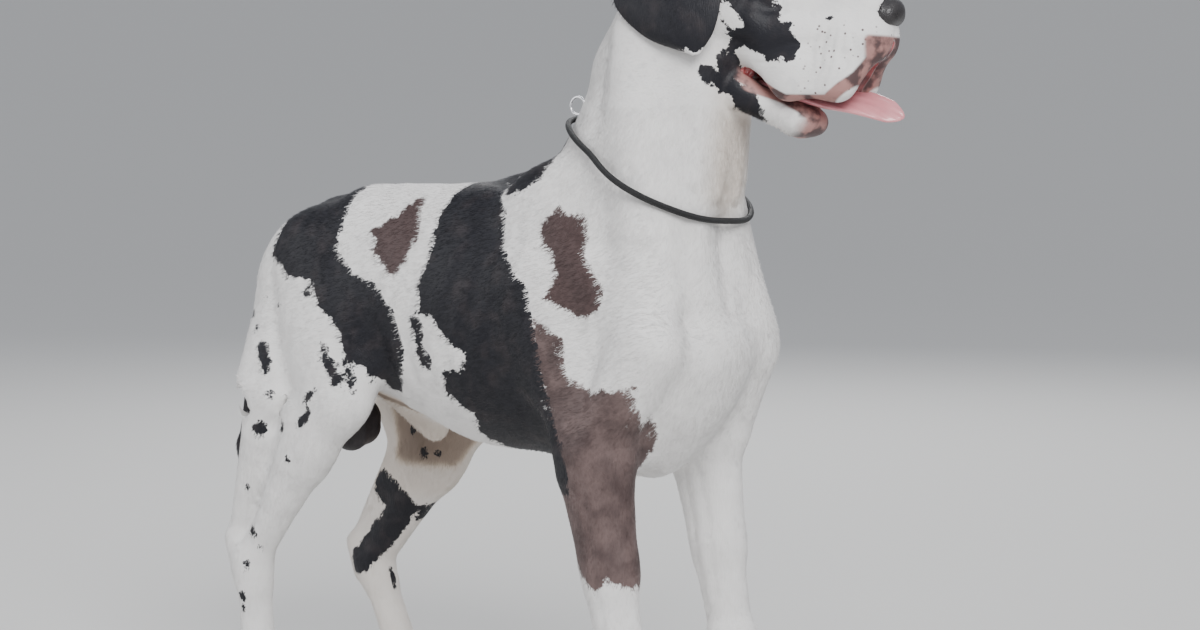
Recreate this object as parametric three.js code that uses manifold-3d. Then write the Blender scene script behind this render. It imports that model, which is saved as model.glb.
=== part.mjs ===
// A harlequin Great Dane dog standing with its head held high, mouth open and tongue out, wearing a
// thin cord collar. Life size, in millimetres: +X runs from tail to nose, +Y to the dog's left, +Z up,
// the paws stand on z = 0 and the origin lies on the floor under the middle of the bounding box.
//
// The body is described once, as a field of flesh: tapered masses of bone and muscle that flow into one
// another. Each sub-part is a sphere mesh whose points are drawn out from a middle line to that field,
// and the sub-parts are then parted from each other by thin cuts.
import * as THREE from 'three';
import { mergeVertices } from 'three/addons/utils/BufferGeometryUtils.js';
import Module from 'manifold-3d';

const wasm = await Module();
wasm.setup();

// Driving dimensions
const GAP = 0.3; // between two sub-parts
const BOX_MIDDLE = [-84.2, 0]; // of the bounding box, in x and y, before the dog is moved to it
const TRACK = 120; // half the distance between the feet of a pair
const HEAD_PLACE = [161, 7, 1135]; // back of the skull, at the level of its top
const HEAD_YAW = 6 * Math.PI / 180; // towards the dog's left
const HEAD_DROP = 4 * Math.PI / 180; // nose below level
const JAW_OPEN = 21 * Math.PI / 180;
const JAW_HINGE = [72, 0, -112]; // in the head's own frame
const COLLAR_RADIUS = 4.2;

const COLOURS = {
  coat: 0xe9e5e2, dark: 0x26232b, mouth: 0xd98fa0, nose: 0x1b1a1e, claw: 0x3a3230, eye: 0x2a1a12,
  cord: 0x18171b, steel: 0xb9bcc2, scrotum: 0x2b2024,
};

const V = (x, y, z) => new THREE.Vector3(x, y, z);
const vec = (p) => V(p[0], p[1], p[2]);
const clamp = THREE.MathUtils.clamp;
const mix = (a, b, t) => a + (b - a) * t;

// Flesh: tapered masses and how they flow together

// One mass from a to b, with radii ra and rb. flat narrows it along side, and blend is how far it
// flows into what it touches.
function mass(a, b, ra, rb, flat = 1, blend = 30, side = [0, 1, 0]) {
  return { a, b, ra, rb, flat, blend, side };
}

function mirrored(m) {
  const turn = ([x, y, z]) => [x, -y, z];
  return { ...m, a: turn(m.a), b: turn(m.b), side: turn(m.side) };
}

const pair = (...args) => [mass(...args), mirrored(mass(...args))];

function massDistance(m, x, y, z) {
  const [ax, ay, az] = m.a;
  const dx = m.b[0] - ax, dy = m.b[1] - ay, dz = m.b[2] - az;
  const t = clamp(((x - ax) * dx + (y - ay) * dy + (z - az) * dz) / (dx * dx + dy * dy + dz * dz || 1), 0, 1);
  let qx = x - ax - dx * t, qy = y - ay - dy * t, qz = z - az - dz * t;
  const s = (qx * m.side[0] + qy * m.side[1] + qz * m.side[2]) * (1 / m.flat - 1);
  qx += m.side[0] * s;
  qy += m.side[1] * s;
  qz += m.side[2] * s;
  return Math.hypot(qx, qy, qz) - mix(m.ra, m.rb, t);
}

function flow(a, b, blend) {
  const h = Math.max(blend - Math.abs(a - b), 0) / blend;
  return Math.min(a, b) - h * h * blend / 4;
}

const fleshOf = (masses) => (x, y, z) =>
  masses.reduce((d, m) => flow(d, massDistance(m, x, y, z), m.blend), 1e6);

// Trunk and neck
const trunk = [
  mass([100, 0, 612], [-120, 0, 646], 176, 176, 0.70, 30),
  mass([-120, 0, 646], [-290, 0, 668], 176, 148, 0.74, 60),
  mass([-290, 0, 668], [-410, 0, 690], 148, 118, 0.78, 60),
  mass([-398, 0, 700], [-450, 0, 682], 92, 68, 0.95, 50),
  ...pair([-40, 36, 778], [-330, 38, 776], 42, 39, 1, 36),
  ...pair([-330, 40, 770], [-440, 42, 706], 42, 38, 1, 40),
  mass([70, 0, 810], [-60, 0, 804], 48, 42, 0.62, 40),
  ...pair([8, 64, 794], [178, 102, 636], 60, 50, 0.56, 34),
  ...pair([14, 96, 690], [104, 120, 515], 70, 44, 0.52, 30),
  ...pair([212, 110, 624], [134, 118, 485], 52, 44, 0.86, 30),
  ...pair([224, 44, 606], [158, 60, 492], 48, 38, 1, 34),
  mass([232, 0, 622], [152, 0, 474], 38, 34, 1, 40),
];

const neck = [
  mass([84, 0, 740], [152, 0, 880], 146, 112, 0.76, 60),
  mass([152, 0, 880], [186, 0, 985], 112, 100, 0.76, 40),
  mass([186, 0, 985], [215, 0, 1062], 100, 82, 0.80, 40),
  mass([52, 0, 880], [94, 0, 992], 30, 28, 0.9, 34),
  mass([94, 0, 992], [138, 0, 1088], 28, 26, 1, 34),
  ...pair([236, 42, 985], [226, 34, 690], 30, 30, 1, 34),
  ...pair([165, 58, 1040], [196, 90, 694], 36, 48, 0.8, 36),
];

// Legs. Each is set out from its joints, and s is +1 on the left and -1 on the right.
const legJoints = {
  fore: (s) => ({
    elbow: [142 + s * 10, s * 118, 470], carpus: [194 + s * 8, s * TRACK, 190],
    fetlock: [212 + s * 6, s * (TRACK + 1), 66],
  }),
  hind: (s) => (s < 0 ? {
    hip: [-404, -80, 690], stifle: [-326, -124, 520], hock: [-512, -116, 262], fetlock: [-500, -114, 62],
    calf: [-489, -120, 448],
  } : {
    hip: [-398, 80, 690], stifle: [-282, 122, 484], hock: [-478, 118, 222], fetlock: [-404, 118, 52],
    calf: [-412, 120, 396],
  }),
};

const between = (a, b, t, shift = [0, 0, 0]) => a.map((v, i) => mix(v, b[i], t) + shift[i]);

function foreleg(s) {
  const { elbow, carpus, fetlock } = legJoints.fore(s);
  return [
    mass(elbow, between(elbow, carpus, 0.55), 47, 36, 0.86, 34),
    mass(between(elbow, carpus, 0.5), carpus, 36, 31, 0.94, 20),
    mass(between(elbow, carpus, 0.05, [20, 0, 0]), between(elbow, carpus, 0.5, [8, 0, 0]), 34, 26, 0.9, 24),
    mass([elbow[0] - 34, elbow[1], 520], [elbow[0] - 30, elbow[1], 458], 22, 21, 0.9, 26),
    mass([elbow[0] - 22, elbow[1], 440], between(elbow, carpus, 0.85, [-16, 0, 0]), 26, 13, 0.9, 22),
    mass(carpus, between(carpus, fetlock, 0.12), 36, 34, 0.98, 18),
    mass(between(carpus, fetlock, 0.1, [-26, 0, -4]), between(carpus, fetlock, 0.2, [-22, 0, 0]), 15, 12, 1, 16),
    mass(carpus, fetlock, 30, 32, 1.05, 18),
  ];
}

function hindleg(s) {
  const { hip, stifle, hock, fetlock, calf } = legJoints.hind(s);
  const heel = [hock[0] - 36, hock[1], hock[2] + 26];
  return [
    mass([hip[0] - 6, hip[1] - s * 4, hip[2]], between(hip, stifle, 0.78), 98, 74, 0.54, 44),
    mass([hip[0] - 66, hip[1] - s * 12, 668], [calf[0] + 8, calf[1], calf[2] + 70], 58, 54, 0.60, 40),
    mass(between(hip, stifle, 0.4, [40, 0, 10]), stifle, 60, 48, 0.6, 40),
    mass(stifle, between(stifle, hock, 0.35), 48, 46, 0.80, 30),
    mass(between(stifle, hock, 0.15, [-34, 0, -6]), between(stifle, hock, 0.55, [-14, 0, 0]), 44, 30, 0.74, 28),
    mass(between(stifle, hock, 0.3), hock, 40, 27, 0.86, 26),
    mass(calf, heel, 34, 14, 0.75, 30),
    mass(heel, [hock[0] - 22, hock[1], hock[2] - 22], 16, 17, 0.95, 20),
    mass(hock, between(hock, fetlock, 0.18), 31, 27, 0.9, 20),
    mass(between(hock, fetlock, 0.1), fetlock, 25, 28, 1, 20),
  ];
}

// Paws. Four toes each bend from a knuckle to a tip, round a pad that lies on the floor.
const TOES = [
  { out: -35, knuckle: 30, tip: 58, radius: 14.5 }, { out: -13, knuckle: 42, tip: 76, radius: 16 },
  { out: 13, knuckle: 42, tip: 76, radius: 16 }, { out: 35, knuckle: 30, tip: 58, radius: 14.5 },
];
const PAW_FLOOR = 0.8; // how deep the pads' rounds are cut off by the floor

function toePlaces(fetlock, toe, size) {
  const [x, y] = fetlock;
  return {
    root: [x + 4 * size, y + toe.out * 0.55, 44 * size],
    knuckle: [x + toe.knuckle * size, y + toe.out * 0.92 * size, 39 * size],
    tip: [x + toe.tip * size, y + toe.out * size, toe.radius * size - PAW_FLOOR],
  };
}

function paw(fetlock, size) {
  const [x, y] = fetlock;
  const toes = TOES.flatMap((toe) => {
    const at = toePlaces(fetlock, toe, size);
    return [
      mass(at.root, at.knuckle, 20 * size, toe.radius * size, 1, 9),
      mass(at.knuckle, at.tip, toe.radius * size, toe.radius * size, 1, 6),
    ];
  });
  return [
    mass(fetlock, [x + 6, y, 48 * size], 30 * size, 30 * size, 1.12, 16),
    mass([x - 4, y, 20 * size - PAW_FLOOR], [x + 22 * size, y, 18 * size - PAW_FLOOR], 20 * size, 18 * size, 1.5, 12),
    ...toes,
  ];
}

// Tail
const tailLine = [[-470, 0, 738], [-520, 0, 706], [-572, 0, 622], [-616, 0, 516], [-642, 0, 410], [-660, 0, 322]];
const tailRadii = [36, 31, 24, 19, 14, 8];
const tail = tailLine.slice(1).map((p, i) => mass(tailLine[i], p, tailRadii[i], tailRadii[i + 1], 1, 18));

// Sheath and scrotum under the belly
const sheath = [mass([-330, 0, 540], [-236, 0, 478], 26, 17, 0.8, 22)];
const scrotum = [
  mass([-420, 0, 560], [-414, 0, 492], 24, 27, 1, 18),
  mass([-408, -13, 462], [-406, -13, 450], 29, 28, 0.9, 12),
  mass([-410, 13, 466], [-408, 13, 456], 29, 28, 0.9, 12),
];

// Head, in its own frame: x from the back of the skull to the nose, z = 0 at the skull's top
const skull = [
  mass([84, 0, -66], [112, 0, -62], 66, 58, 1.04, 30),
  mass([30, 0, -26], [110, 0, -28], 24, 30, 1, 26),
  ...pair([134, 27, -34], [150, 33, -42], 25, 21, 1, 20),
  ...pair([66, 54, -78], [154, 50, -82], 28, 20, 0.8, 22),
  ...pair([52, 46, -102], [84, 46, -130], 36, 30, 0.72, 26),
  mass([110, 0, -78], [190, 0, -88], 52, 44, 0.98, 34),
  mass([170, 0, -78], [300, 0, -76], 44, 36, 1.0, 26),
  ...pair([160, 15, -52], [306, 14, -50], 24, 18, 1, 16),
  ...pair([176, 33, -104], [298, 22, -92], 28, 26, 0.9, 20),
];
const flews = [
  ...pair([158, 38, -118], [214, 44, -138], 20, 25, 0.66, 18),
  ...pair([214, 44, -138], [276, 36, -134], 25, 27, 0.66, 18),
  ...pair([276, 36, -134], [312, 14, -106], 27, 19, 0.8, 16),
  ...pair([286, 26, -100], [312, 12, -92], 24, 20, 1, 16),
];
const noseMasses = [
  mass([306, 0, -56], [327, 0, -58], 24, 18, 1.1, 10),
  ...pair([314, 15, -62], [327, 13, -64], 15, 12.5, 1, 8),
  mass([318, 0, -66], [322, 0, -84], 15, 8, 1, 10),
];
const jaw = [
  ...pair([70, 44, -128], [150, 34, -142], 25, 21, 0.8, 20),
  ...pair([150, 34, -142], [246, 15, -142], 21, 18, 0.95, 20),
  mass([242, 0, -142], [256, 0, -140], 22, 17, 1.25, 16),
  mass([90, 0, -142], [234, 0, -148], 22, 16, 1.6, 20),
];

function openJaw([x, y, z]) {
  const c = Math.cos(JAW_OPEN), s = Math.sin(JAW_OPEN);
  const dx = x - JAW_HINGE[0], dz = z - JAW_HINGE[2];
  return [JAW_HINGE[0] + c * dx + s * dz, y, JAW_HINGE[2] - s * dx + c * dz];
}

const openedJaw = jaw.map((m) => ({ ...m, a: openJaw(m.a), b: openJaw(m.b) }));

const headMatrix = new THREE.Matrix4().makeTranslation(...HEAD_PLACE)
  .multiply(new THREE.Matrix4().makeRotationZ(HEAD_YAW))
  .multiply(new THREE.Matrix4().makeRotationY(HEAD_DROP));
const toHead = headMatrix.clone().invert();

function inWorld(m) {
  const place = (p) => vec(p).applyMatrix4(headMatrix).toArray();
  const side = vec(m.side).transformDirection(headMatrix).toArray();
  return { ...m, a: place(m.a), b: place(m.b), side };
}

// Drawing a sphere mesh out to the flesh

// Rings of rays run along a middle line. Each ring has a middle, and the two directions of its plane.
// round is how many extra rings close each end, and reach how far a ray may go.
function drawOut({ middles, ups, sides, segments, field, round = [3, 3], reach = 400, stretch = 1 }) {
  const rings = middles.length;
  const rows = round[0] + rings + round[1] + 1;
  const sphere = new THREE.SphereGeometry(1, segments, rows);
  const at = sphere.attributes.position;
  const columns = segments + 1;
  for (let row = 0; row <= rows; row++) {
    const ring = clamp(row - 1 - round[0], 0, rings - 1);
    const before = row - 1 - round[0] < 0;
    const past = before ? round[0] + 1 - row : Math.max(row - round[0] - rings, 0);
    const lean = past / ((before ? round[0] : round[1]) + 1) * Math.PI / 2;
    const up = ups[ring], side = sides[ring];
    const along = new THREE.Vector3().crossVectors(side, up).multiplyScalar(before ? -1 : 1);
    for (let column = 0; column < columns; column++) {
      const turn = (column % segments) / segments * 2 * Math.PI;
      const ray = up.clone().multiplyScalar(Math.cos(turn)).addScaledVector(side, Math.sin(turn) * stretch)
        .multiplyScalar(Math.cos(lean)).addScaledVector(along, Math.sin(lean)).normalize();
      const r = rayLength(field, middles[ring], ray, reach);
      const p = middles[ring].clone().addScaledVector(ray, r);
      at.setXYZ(row * columns + column, p.x, p.y, p.z);
    }
  }
  return sphere;
}

function rayLength(field, from, ray, reach) {
  const f = (r) => field(from.x + ray.x * r, from.y + ray.y * r, from.z + ray.z * r);
  let near = 0, far = 0, d = f(0);
  while (d < 0 && far < reach) {
    near = far;
    far += clamp(-d * 0.8, 1.5, 25);
    d = f(far);
  }
  if (d < 0) return reach;
  for (let i = 0; i < 14; i++) {
    const middle = (near + far) / 2;
    if (f(middle) < 0) near = middle;
    else far = middle;
  }
  return Math.max((near + far) / 2, 0.5);
}

// Ring middles and planes along a smooth line through the given points; across is +Y
function ringsAlong(points, count, upAt) {
  const line = new THREE.CatmullRomCurve3(points.map(vec), false, 'centripetal');
  const middles = [], ups = [], sides = [];
  for (let i = 0; i < count; i++) {
    const t = i / (count - 1);
    middles.push(line.getPointAt(t));
    const up = upAt ? upAt(t).normalize() : levelUp(line.getTangentAt(t));
    ups.push(up);
    sides.push(V(0, 1, 0));
  }
  return { middles, ups, sides };
}

function levelUp(tangent) {
  return new THREE.Vector3().crossVectors(tangent, V(0, 1, 0)).normalize();
}

// Solids: closing a mesh, cutting and joining
function solid(geometry) {
  const bare = geometry.clone();
  bare.deleteAttribute('normal');
  bare.deleteAttribute('uv');
  const merged = mergeVertices(bare, 1e-3);
  const triVerts = [];
  const index = merged.index.array;
  for (let i = 0; i < index.length; i += 3) {
    const [a, b, c] = [index[i], index[i + 1], index[i + 2]];
    if (a !== b && b !== c && c !== a) triVerts.push(a, b, c);
  }
  const made = new wasm.Manifold(new wasm.Mesh({
    numProp: 3, vertProperties: merged.attributes.position.array, triVerts: new Uint32Array(triVerts),
  }));
  return made.volume() > 0 ? made : solid(flipped(merged));
}

function flipped(geometry) {
  const copy = geometry.clone();
  const index = copy.index.array;
  for (let i = 0; i < index.length; i += 3) [index[i + 1], index[i + 2]] = [index[i + 2], index[i + 1]];
  return copy;
}

function geometryOf(made) {
  const m = made.getMesh();
  const place = new Float32Array(m.numVert * 3);
  for (let i = 0; i < m.numVert; i++) {
    place.set(m.vertProperties.subarray(i * m.numProp, i * m.numProp + 3), i * 3);
  }
  return new THREE.BufferGeometry()
    .setAttribute('position', new THREE.BufferAttribute(place, 3))
    .setIndex(new THREE.BufferAttribute(m.triVerts, 1));
}

const largest = (made) => made.decompose().sort((a, b) => b.volume() - a.volume())[0];

// All that lies past a plane, on the side that its normal points to
function beyond(point, normal, shift = 0) {
  const size = 1600;
  const n = vec(normal).normalize();
  const box = new THREE.BoxGeometry(size, size, size).translate(0, 0, size / 2);
  box.applyQuaternion(new THREE.Quaternion().setFromUnitVectors(V(0, 0, 1), n));
  const at = vec(point).addScaledVector(n, shift);
  return solid(box.translate(at.x, at.y, at.z));
}

const planeDistance = (point, normal) => {
  const n = vec(normal).normalize(), p = vec(point);
  return (x, y, z) => (x - p.x) * n.x + (y - p.y) * n.y + (z - p.z) * n.z;
};

// Cuts between the sub-parts: a point and the way to the outer part
const cuts = {
  head: { point: [176, 0, 1040], normal: [0.56, 0.05, 0.83] },
  neck: { point: [120, 0, 800], normal: [0.42, 0, 0.90] },
  tail: { point: [-512, 0, 700], normal: [-0.80, 0, -0.60] },
  tailEnd: { point: [-606, 0, 540], normal: [-0.3, 0, -0.95] },
};
const foreCuts = (s) => ({
  side: { point: [0, s * 74, 455], normal: [0, s * 0.97, -0.23] },
  rear: { point: [50, 0, 560], normal: [0.93, 0, 0.36] },
  elbow: { point: [142, 0, 478], normal: [0.2, 0, -0.98] },
  carpus: { point: [190, 0, 204], normal: [0.2, 0, -0.98] },
  paw: { point: [210, 0, 82], normal: [0.2, 0, -0.98] },
});
const hindCuts = (s) => {
  const { stifle, hock, fetlock } = legJoints.hind(s);
  return {
    side: { point: [0, s * 58, 560], normal: [0, s * 0.96, -0.28] },
    front: { point: [stifle[0] + 40, 0, 560], normal: [-0.92, 0, -0.38] },
    stifle: { point: [stifle[0] - 20, 0, stifle[2] - 52], normal: [-0.24, 0, -0.97] },
    hock: { point: [hock[0], 0, hock[2] + 42], normal: [-0.3, 0, -0.95] },
    paw: { point: [fetlock[0], 0, fetlock[2] + 14], normal: [0.15, 0, -0.98] },
  };
};
const past = ({ point, normal }) => beyond(point, normal, GAP / 2);
const short = ({ point, normal }) => beyond(point, normal.map((v) => -v), GAP / 2);
const floorCut = beyond([0, 0, 0], [0, 0, 1]);

// Trunk and neck as one run of rings, from the rump to the head
const spineRings = [
  [[-520, 0, 790], [-520, 0, 600]], [[-440, 0, 825], [-440, 0, 540]], [[-330, 0, 830], [-330, 0, 515]],
  [[-200, 0, 832], [-195, 0, 480]], [[-90, 0, 842], [-65, 0, 455]], [[-25, 0, 856], [60, 0, 436]],
  [[5, 0, 878], [165, 0, 466]], [[20, 0, 905], [238, 0, 590]], [[40, 0, 940], [258, 0, 725]],
  [[60, 0, 975], [272, 0, 830]], [[84, 0, 1022], [280, 0, 910]], [[108, 0, 1066], [282, 0, 980]],
];

function spine(field) {
  const top = new THREE.CatmullRomCurve3(spineRings.map((r) => vec(r[0])));
  const bottom = new THREE.CatmullRomCurve3(spineRings.map((r) => vec(r[1])));
  const rings = 34, middles = [], ups = [], sides = [];
  for (let i = 0; i < rings; i++) {
    const a = top.getPoint(i / (rings - 1)), b = bottom.getPoint(i / (rings - 1));
    middles.push(b.clone().lerp(a, 0.5));
    ups.push(a.sub(b).normalize());
    sides.push(V(0, 1, 0));
  }
  return solid(drawOut({ middles, ups, sides, segments: 36, field, round: [4, 2], reach: 330 }));
}

const legs = [-1, 1].map((s) => ({ s, fore: foreleg(s), hind: hindleg(s) }));
const wholeBody = [...trunk, ...neck, ...legs.flatMap(({ fore, hind }) => [...fore.slice(0, 3), ...hind.slice(0, 7)])];
const bodyField = fleshOf(wholeBody);
const body = spine(bodyField);
const bodyGrown = spine((x, y, z) => bodyField(x, y, z) - GAP);

// The part of a leg that hangs free below the body, drawn from a line of its own
function freeLeg(points, count, masses, sidePlane, segments, up) {
  const field = fleshOf(masses);
  const inner = planeDistance(sidePlane.point, sidePlane.normal);
  const held = (x, y, z) => Math.max(field(x, y, z), -inner(x, y, z) - 14, -z - 3);
  const rings = ringsAlong(points, count, () => vec(up));
  return solid(drawOut({ ...rings, segments, field: held, round: [2, 2], reach: 220 }));
}

const parts = new Map(); // name to [solid, colour]
const add = (name, made, colour) => parts.set(name, [largest(made), colour]);

let torso = body;
const sideName = (s) => (s > 0 ? 'left' : 'right');

for (const s of [-1, 1]) {
  const name = sideName(s);
  const fore = legJoints.fore(s), foreCut = foreCuts(s);
  const forePoints = [
    between(fore.elbow, fore.carpus, -0.06), between(fore.elbow, fore.carpus, 0.5), fore.carpus,
    between(fore.carpus, fore.fetlock, 1),
  ];
  const freeFore = freeLeg(forePoints, 19, [...wholeBody, ...foreleg(s)], foreCut.side, 14, [0.97, 0, 0.2]);
  const shoulder = body.intersect(past(foreCut.side)).intersect(past(foreCut.rear));
  add(`upper_arm_${name}`, shoulder.intersect(short(foreCut.elbow)), COLOURS.coat);
  add(`forearm_${name}`, freeFore.intersect(past(foreCut.elbow)).intersect(past(foreCut.side))
    .intersect(short(foreCut.carpus)), COLOURS.coat);
  add(`fore_pastern_${name}`, freeFore.intersect(past(foreCut.carpus)).intersect(short(foreCut.paw)),
    COLOURS.coat);

  const hind = legJoints.hind(s), hindCut = hindCuts(s);
  const hindPoints = [
    between(hind.stifle, hind.hock, 0.06, [-34, 0, 0]), between(hind.stifle, hind.hock, 0.55, [-6, 0, 0]),
    between(hind.stifle, hind.hock, 0.95), between(hind.hock, hind.fetlock, 0.3),
    between(hind.hock, hind.fetlock, 1),
  ];
  const freeHind = freeLeg(hindPoints, 22, hindleg(s).filter((m, i) => i === 1 || i > 2), hindCut.side, 14, [0.94, 0, -0.3]);
  const haunch = body.intersect(past(hindCut.side)).intersect(past(hindCut.front));
  add(`thigh_${name}`, haunch.intersect(short(hindCut.stifle)), COLOURS.coat);
  add(`lower_thigh_${name}`, freeHind.intersect(past(hindCut.stifle)).intersect(past(hindCut.side))
    .intersect(short(hindCut.hock)), COLOURS.coat);
  add(`hind_pastern_${name}`, freeHind.intersect(past(hindCut.hock)).intersect(short(hindCut.paw)),
    COLOURS.coat);

  const cutAway = ({ point, normal }) => beyond(point, normal, -GAP / 2);
  for (const [side, end] of [[foreCut.side, foreCut.rear], [foreCut.side, foreCut.elbow],
    [hindCut.side, hindCut.front], [hindCut.side, hindCut.stifle]]) {
    torso = torso.subtract(cutAway(side).intersect(cutAway(end)));
  }

  // Paws, with their claws
  for (const [kind, fetlock, size, cut] of [['fore', fore.fetlock, 1, foreCut.paw],
    ['hind', hind.fetlock, 0.94, hindCut.paw]]) {
    const legMasses = kind === 'fore' ? foreleg(s) : hindleg(s);
    const field = fleshOf([...legMasses.slice(-1), ...paw(fetlock, size)]);
    const rings = ringsAlong([[fetlock[0] - 14, fetlock[1], 34], [fetlock[0] + 62 * size, fetlock[1], 22]], 9,
      () => V(0.12, 0, 1));
    let made = solid(drawOut({ ...rings, segments: 18, field, round: [2, 1], reach: 130 }));
    made = made.intersect(past(cut)).intersect(floorCut);
    const claws = TOES.map((toe) => claw(toePlaces(fetlock, toe, size).tip, toe, size));
    claws.forEach((c, i) => {
      made = made.subtract(c.socket);
      add(`${kind}_claw_${name}_${i + 1}`, c.claw, COLOURS.claw);
    });
    add(`${kind}_paw_${name}`, made, COLOURS.coat);
  }
}

// A claw curves forwards and down from the toe's tip, and its socket is the same a little larger
function claw([x, y, z], toe, size) {
  const radius = 4.6 * size, root = toe.radius * size * 0.62;
  const line = new THREE.CatmullRomCurve3([
    V(x + root, y, z + 5), V(x + root + 9, y, z + 5), V(x + root + 17, y, z - 2), V(x + root + 21, y, z - 9),
  ]);
  const make = (extra) => {
    const geometry = new THREE.SphereGeometry(1, 6, 5);
    const at = geometry.attributes.position;
    for (let i = 0; i < at.count; i++) {
      const t = clamp((1 - at.getY(i)) / 2, 0, 1);
      const ring = Math.sqrt(Math.max(1 - at.getY(i) ** 2, 0)) * (1 - 0.45 * t);
      const spot = line.getPoint(t), up = levelUp(line.getTangent(t));
      const turn = Math.atan2(at.getZ(i), at.getX(i));
      const size2 = (radius * ring + (ring > 1e-6 ? extra : 0));
      spot.addScaledVector(up, Math.cos(turn) * size2).y += Math.sin(turn) * size2 * 0.8;
      if (t < 0.01) spot.x -= extra;
      at.setXYZ(i, spot.x, spot.y, Math.max(spot.z, 0.4));
    }
    return solid(geometry);
  };
  return { claw: make(0), socket: make(GAP) };
}

// Tail, in two lengths
const tailRings = ringsAlong(tailLine, 14);
const tailField = fleshOf(tail);
const tailShape = (extra) => solid(drawOut({
  ...tailRings, segments: 10, field: (x, y, z) => tailField(x, y, z) - extra, round: [1, 2], reach: 80,
}));
const wholeTail = tailShape(0);
add('tail_root', wholeTail.intersect(past(cuts.tail)).intersect(short(cuts.tailEnd)), COLOURS.coat);
add('tail_end', wholeTail.intersect(past(cuts.tailEnd)), COLOURS.dark);
torso = torso.subtract(tailShape(GAP).intersect(beyond(cuts.tail.point, cuts.tail.normal, -GAP / 2)));

// Torso and neck
add('torso', torso.intersect(short(cuts.neck)), COLOURS.coat);
add('neck', torso.intersect(past(cuts.neck)).intersect(short(cuts.head)), COLOURS.coat);

// Sheath and scrotum
for (const [name, masses, line, colour] of [
  ['sheath', sheath, [[-318, 0, 528], [-250, 0, 487], [-236, 0, 478]], COLOURS.coat],
  ['scrotum', scrotum, [[-418, 0, 545], [-412, 0, 500], [-409, 0, 462]], COLOURS.scrotum],
]) {
  const rings = ringsAlong(line, 6);
  const made = solid(drawOut({ ...rings, segments: 12, field: fleshOf(masses), round: [1, 3], reach: 90 }));
  add(name, made.subtract(bodyGrown), colour);
}

// Head
const headRings = [
  [[-52, 0, -100], [62, 0, -190]], [[-26, 0, -34], [92, 0, -180]], [[20, 0, -6], [106, 0, -165]],
  [[70, 0, -2], [118, 0, -150]], [[110, 0, -6], [130, 0, -138]], [[150, 0, -18], [154, 0, -125]],
  [[185, 0, -32], [186, 0, -114]], [[240, 0, -34], [240, 0, -108]], [[296, 0, -38], [292, 0, -104]],
  [[312, 0, -52], [304, 0, -94]],
];
const headPoint = (p) => vec(p).applyMatrix4(headMatrix);
const headAcross = V(0, 1, 0).transformDirection(headMatrix);

function headShape(extra, masses = [...skull, ...flews]) {
  const field = fleshOf([...neck, ...masses.map(inWorld)]);
  const top = new THREE.CatmullRomCurve3(headRings.map((r) => headPoint(r[0])));
  const bottom = new THREE.CatmullRomCurve3(headRings.map((r) => headPoint(r[1])));
  const rings = 24, middles = [], ups = [], sides = [];
  for (let i = 0; i < rings; i++) {
    const a = top.getPoint(i / (rings - 1)), b = bottom.getPoint(i / (rings - 1));
    middles.push(b.clone().lerp(a, 0.5));
    ups.push(a.sub(b).normalize());
    sides.push(headAcross);
  }
  const grown = (x, y, z) => field(x, y, z) - extra;
  return solid(drawOut({ middles, ups, sides, segments: 28, field: grown, round: [1, 3], reach: 150 }));
}

function jawShape(extra) {
  const points = [[64, 0, -122], [150, 0, -142], [250, 0, -142]].map((p) => headPoint(openJaw(p)).toArray());
  const field = fleshOf(openedJaw.map(inWorld));
  const rings = ringsAlong(points, 12, () => V(0.25, 0, 1).applyAxisAngle(V(0, 0, 1), HEAD_YAW));
  rings.sides = rings.sides.map(() => headAcross);
  const grown = (x, y, z) => field(x, y, z) - extra;
  return solid(drawOut({ ...rings, segments: 18, field: grown, round: [2, 3], reach: 90 }));
}

const headGrown = headShape(GAP);
const jawGrown = jawShape(GAP);

// Eyes lie just under the surface, below the brows, and look forwards and outwards
const EYE = { radius: 13, sunk: 8.5, lid: 3, from: [150, 0, -52], slit: [9, 13.5, 6.6] };
const eyePlace = (s) => {
  const from = headPoint(EYE.from);
  const out = V(0.52, s * 0.82, 0.2).transformDirection(headMatrix).normalize();
  const field = fleshOf([...neck, ...[...skull, ...flews].map(inWorld)]);
  return { at: from.clone().addScaledVector(out, rayLength(field, from, out, 150) - EYE.sunk), out };
};

function ball(at, radius, segments = 12, rows = 8) {
  return solid(new THREE.SphereGeometry(radius, segments, rows).translate(at.x, at.y, at.z));
}

let head = headShape(0).intersect(past(cuts.head));
for (const s of [-1, 1]) {
  const { at, out } = eyePlace(s);
  const opening = new THREE.SphereGeometry(1, 10, 8).scale(EYE.slit[0], EYE.slit[1], EYE.slit[2])
    .applyQuaternion(new THREE.Quaternion().setFromUnitVectors(V(1, 0, 0), out));
  const front = at.clone().addScaledVector(out, EYE.radius + 2);
  head = head.add(ball(at, EYE.radius + EYE.lid))
    .subtract(solid(opening.translate(front.x, front.y, front.z)))
    .subtract(ball(at, EYE.radius + GAP));
  add(`eye_${sideName(s)}`, ball(at, EYE.radius), COLOURS.eye);
}

// Nose with its two nostrils
const noseField = fleshOf(noseMasses.map(inWorld));
const noseLine = ringsAlong([[304, 0, -60], [328, 0, -62]].map((p) => headPoint(p).toArray()), 4);
noseLine.sides = noseLine.sides.map(() => headAcross);
let nose = solid(drawOut({ ...noseLine, segments: 16, field: noseField, round: [1, 3], reach: 60 }));
for (const s of [-1, 1]) {
  const nostril = new THREE.SphereGeometry(1, 8, 6).scale(12, 4.4, 5.6).rotateZ(-s * 0.6)
    .translate(338, s * 14, -63).applyMatrix4(headMatrix);
  nose = nose.subtract(solid(nostril));
}
add('nose', nose.subtract(headGrown), COLOURS.nose);

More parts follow.
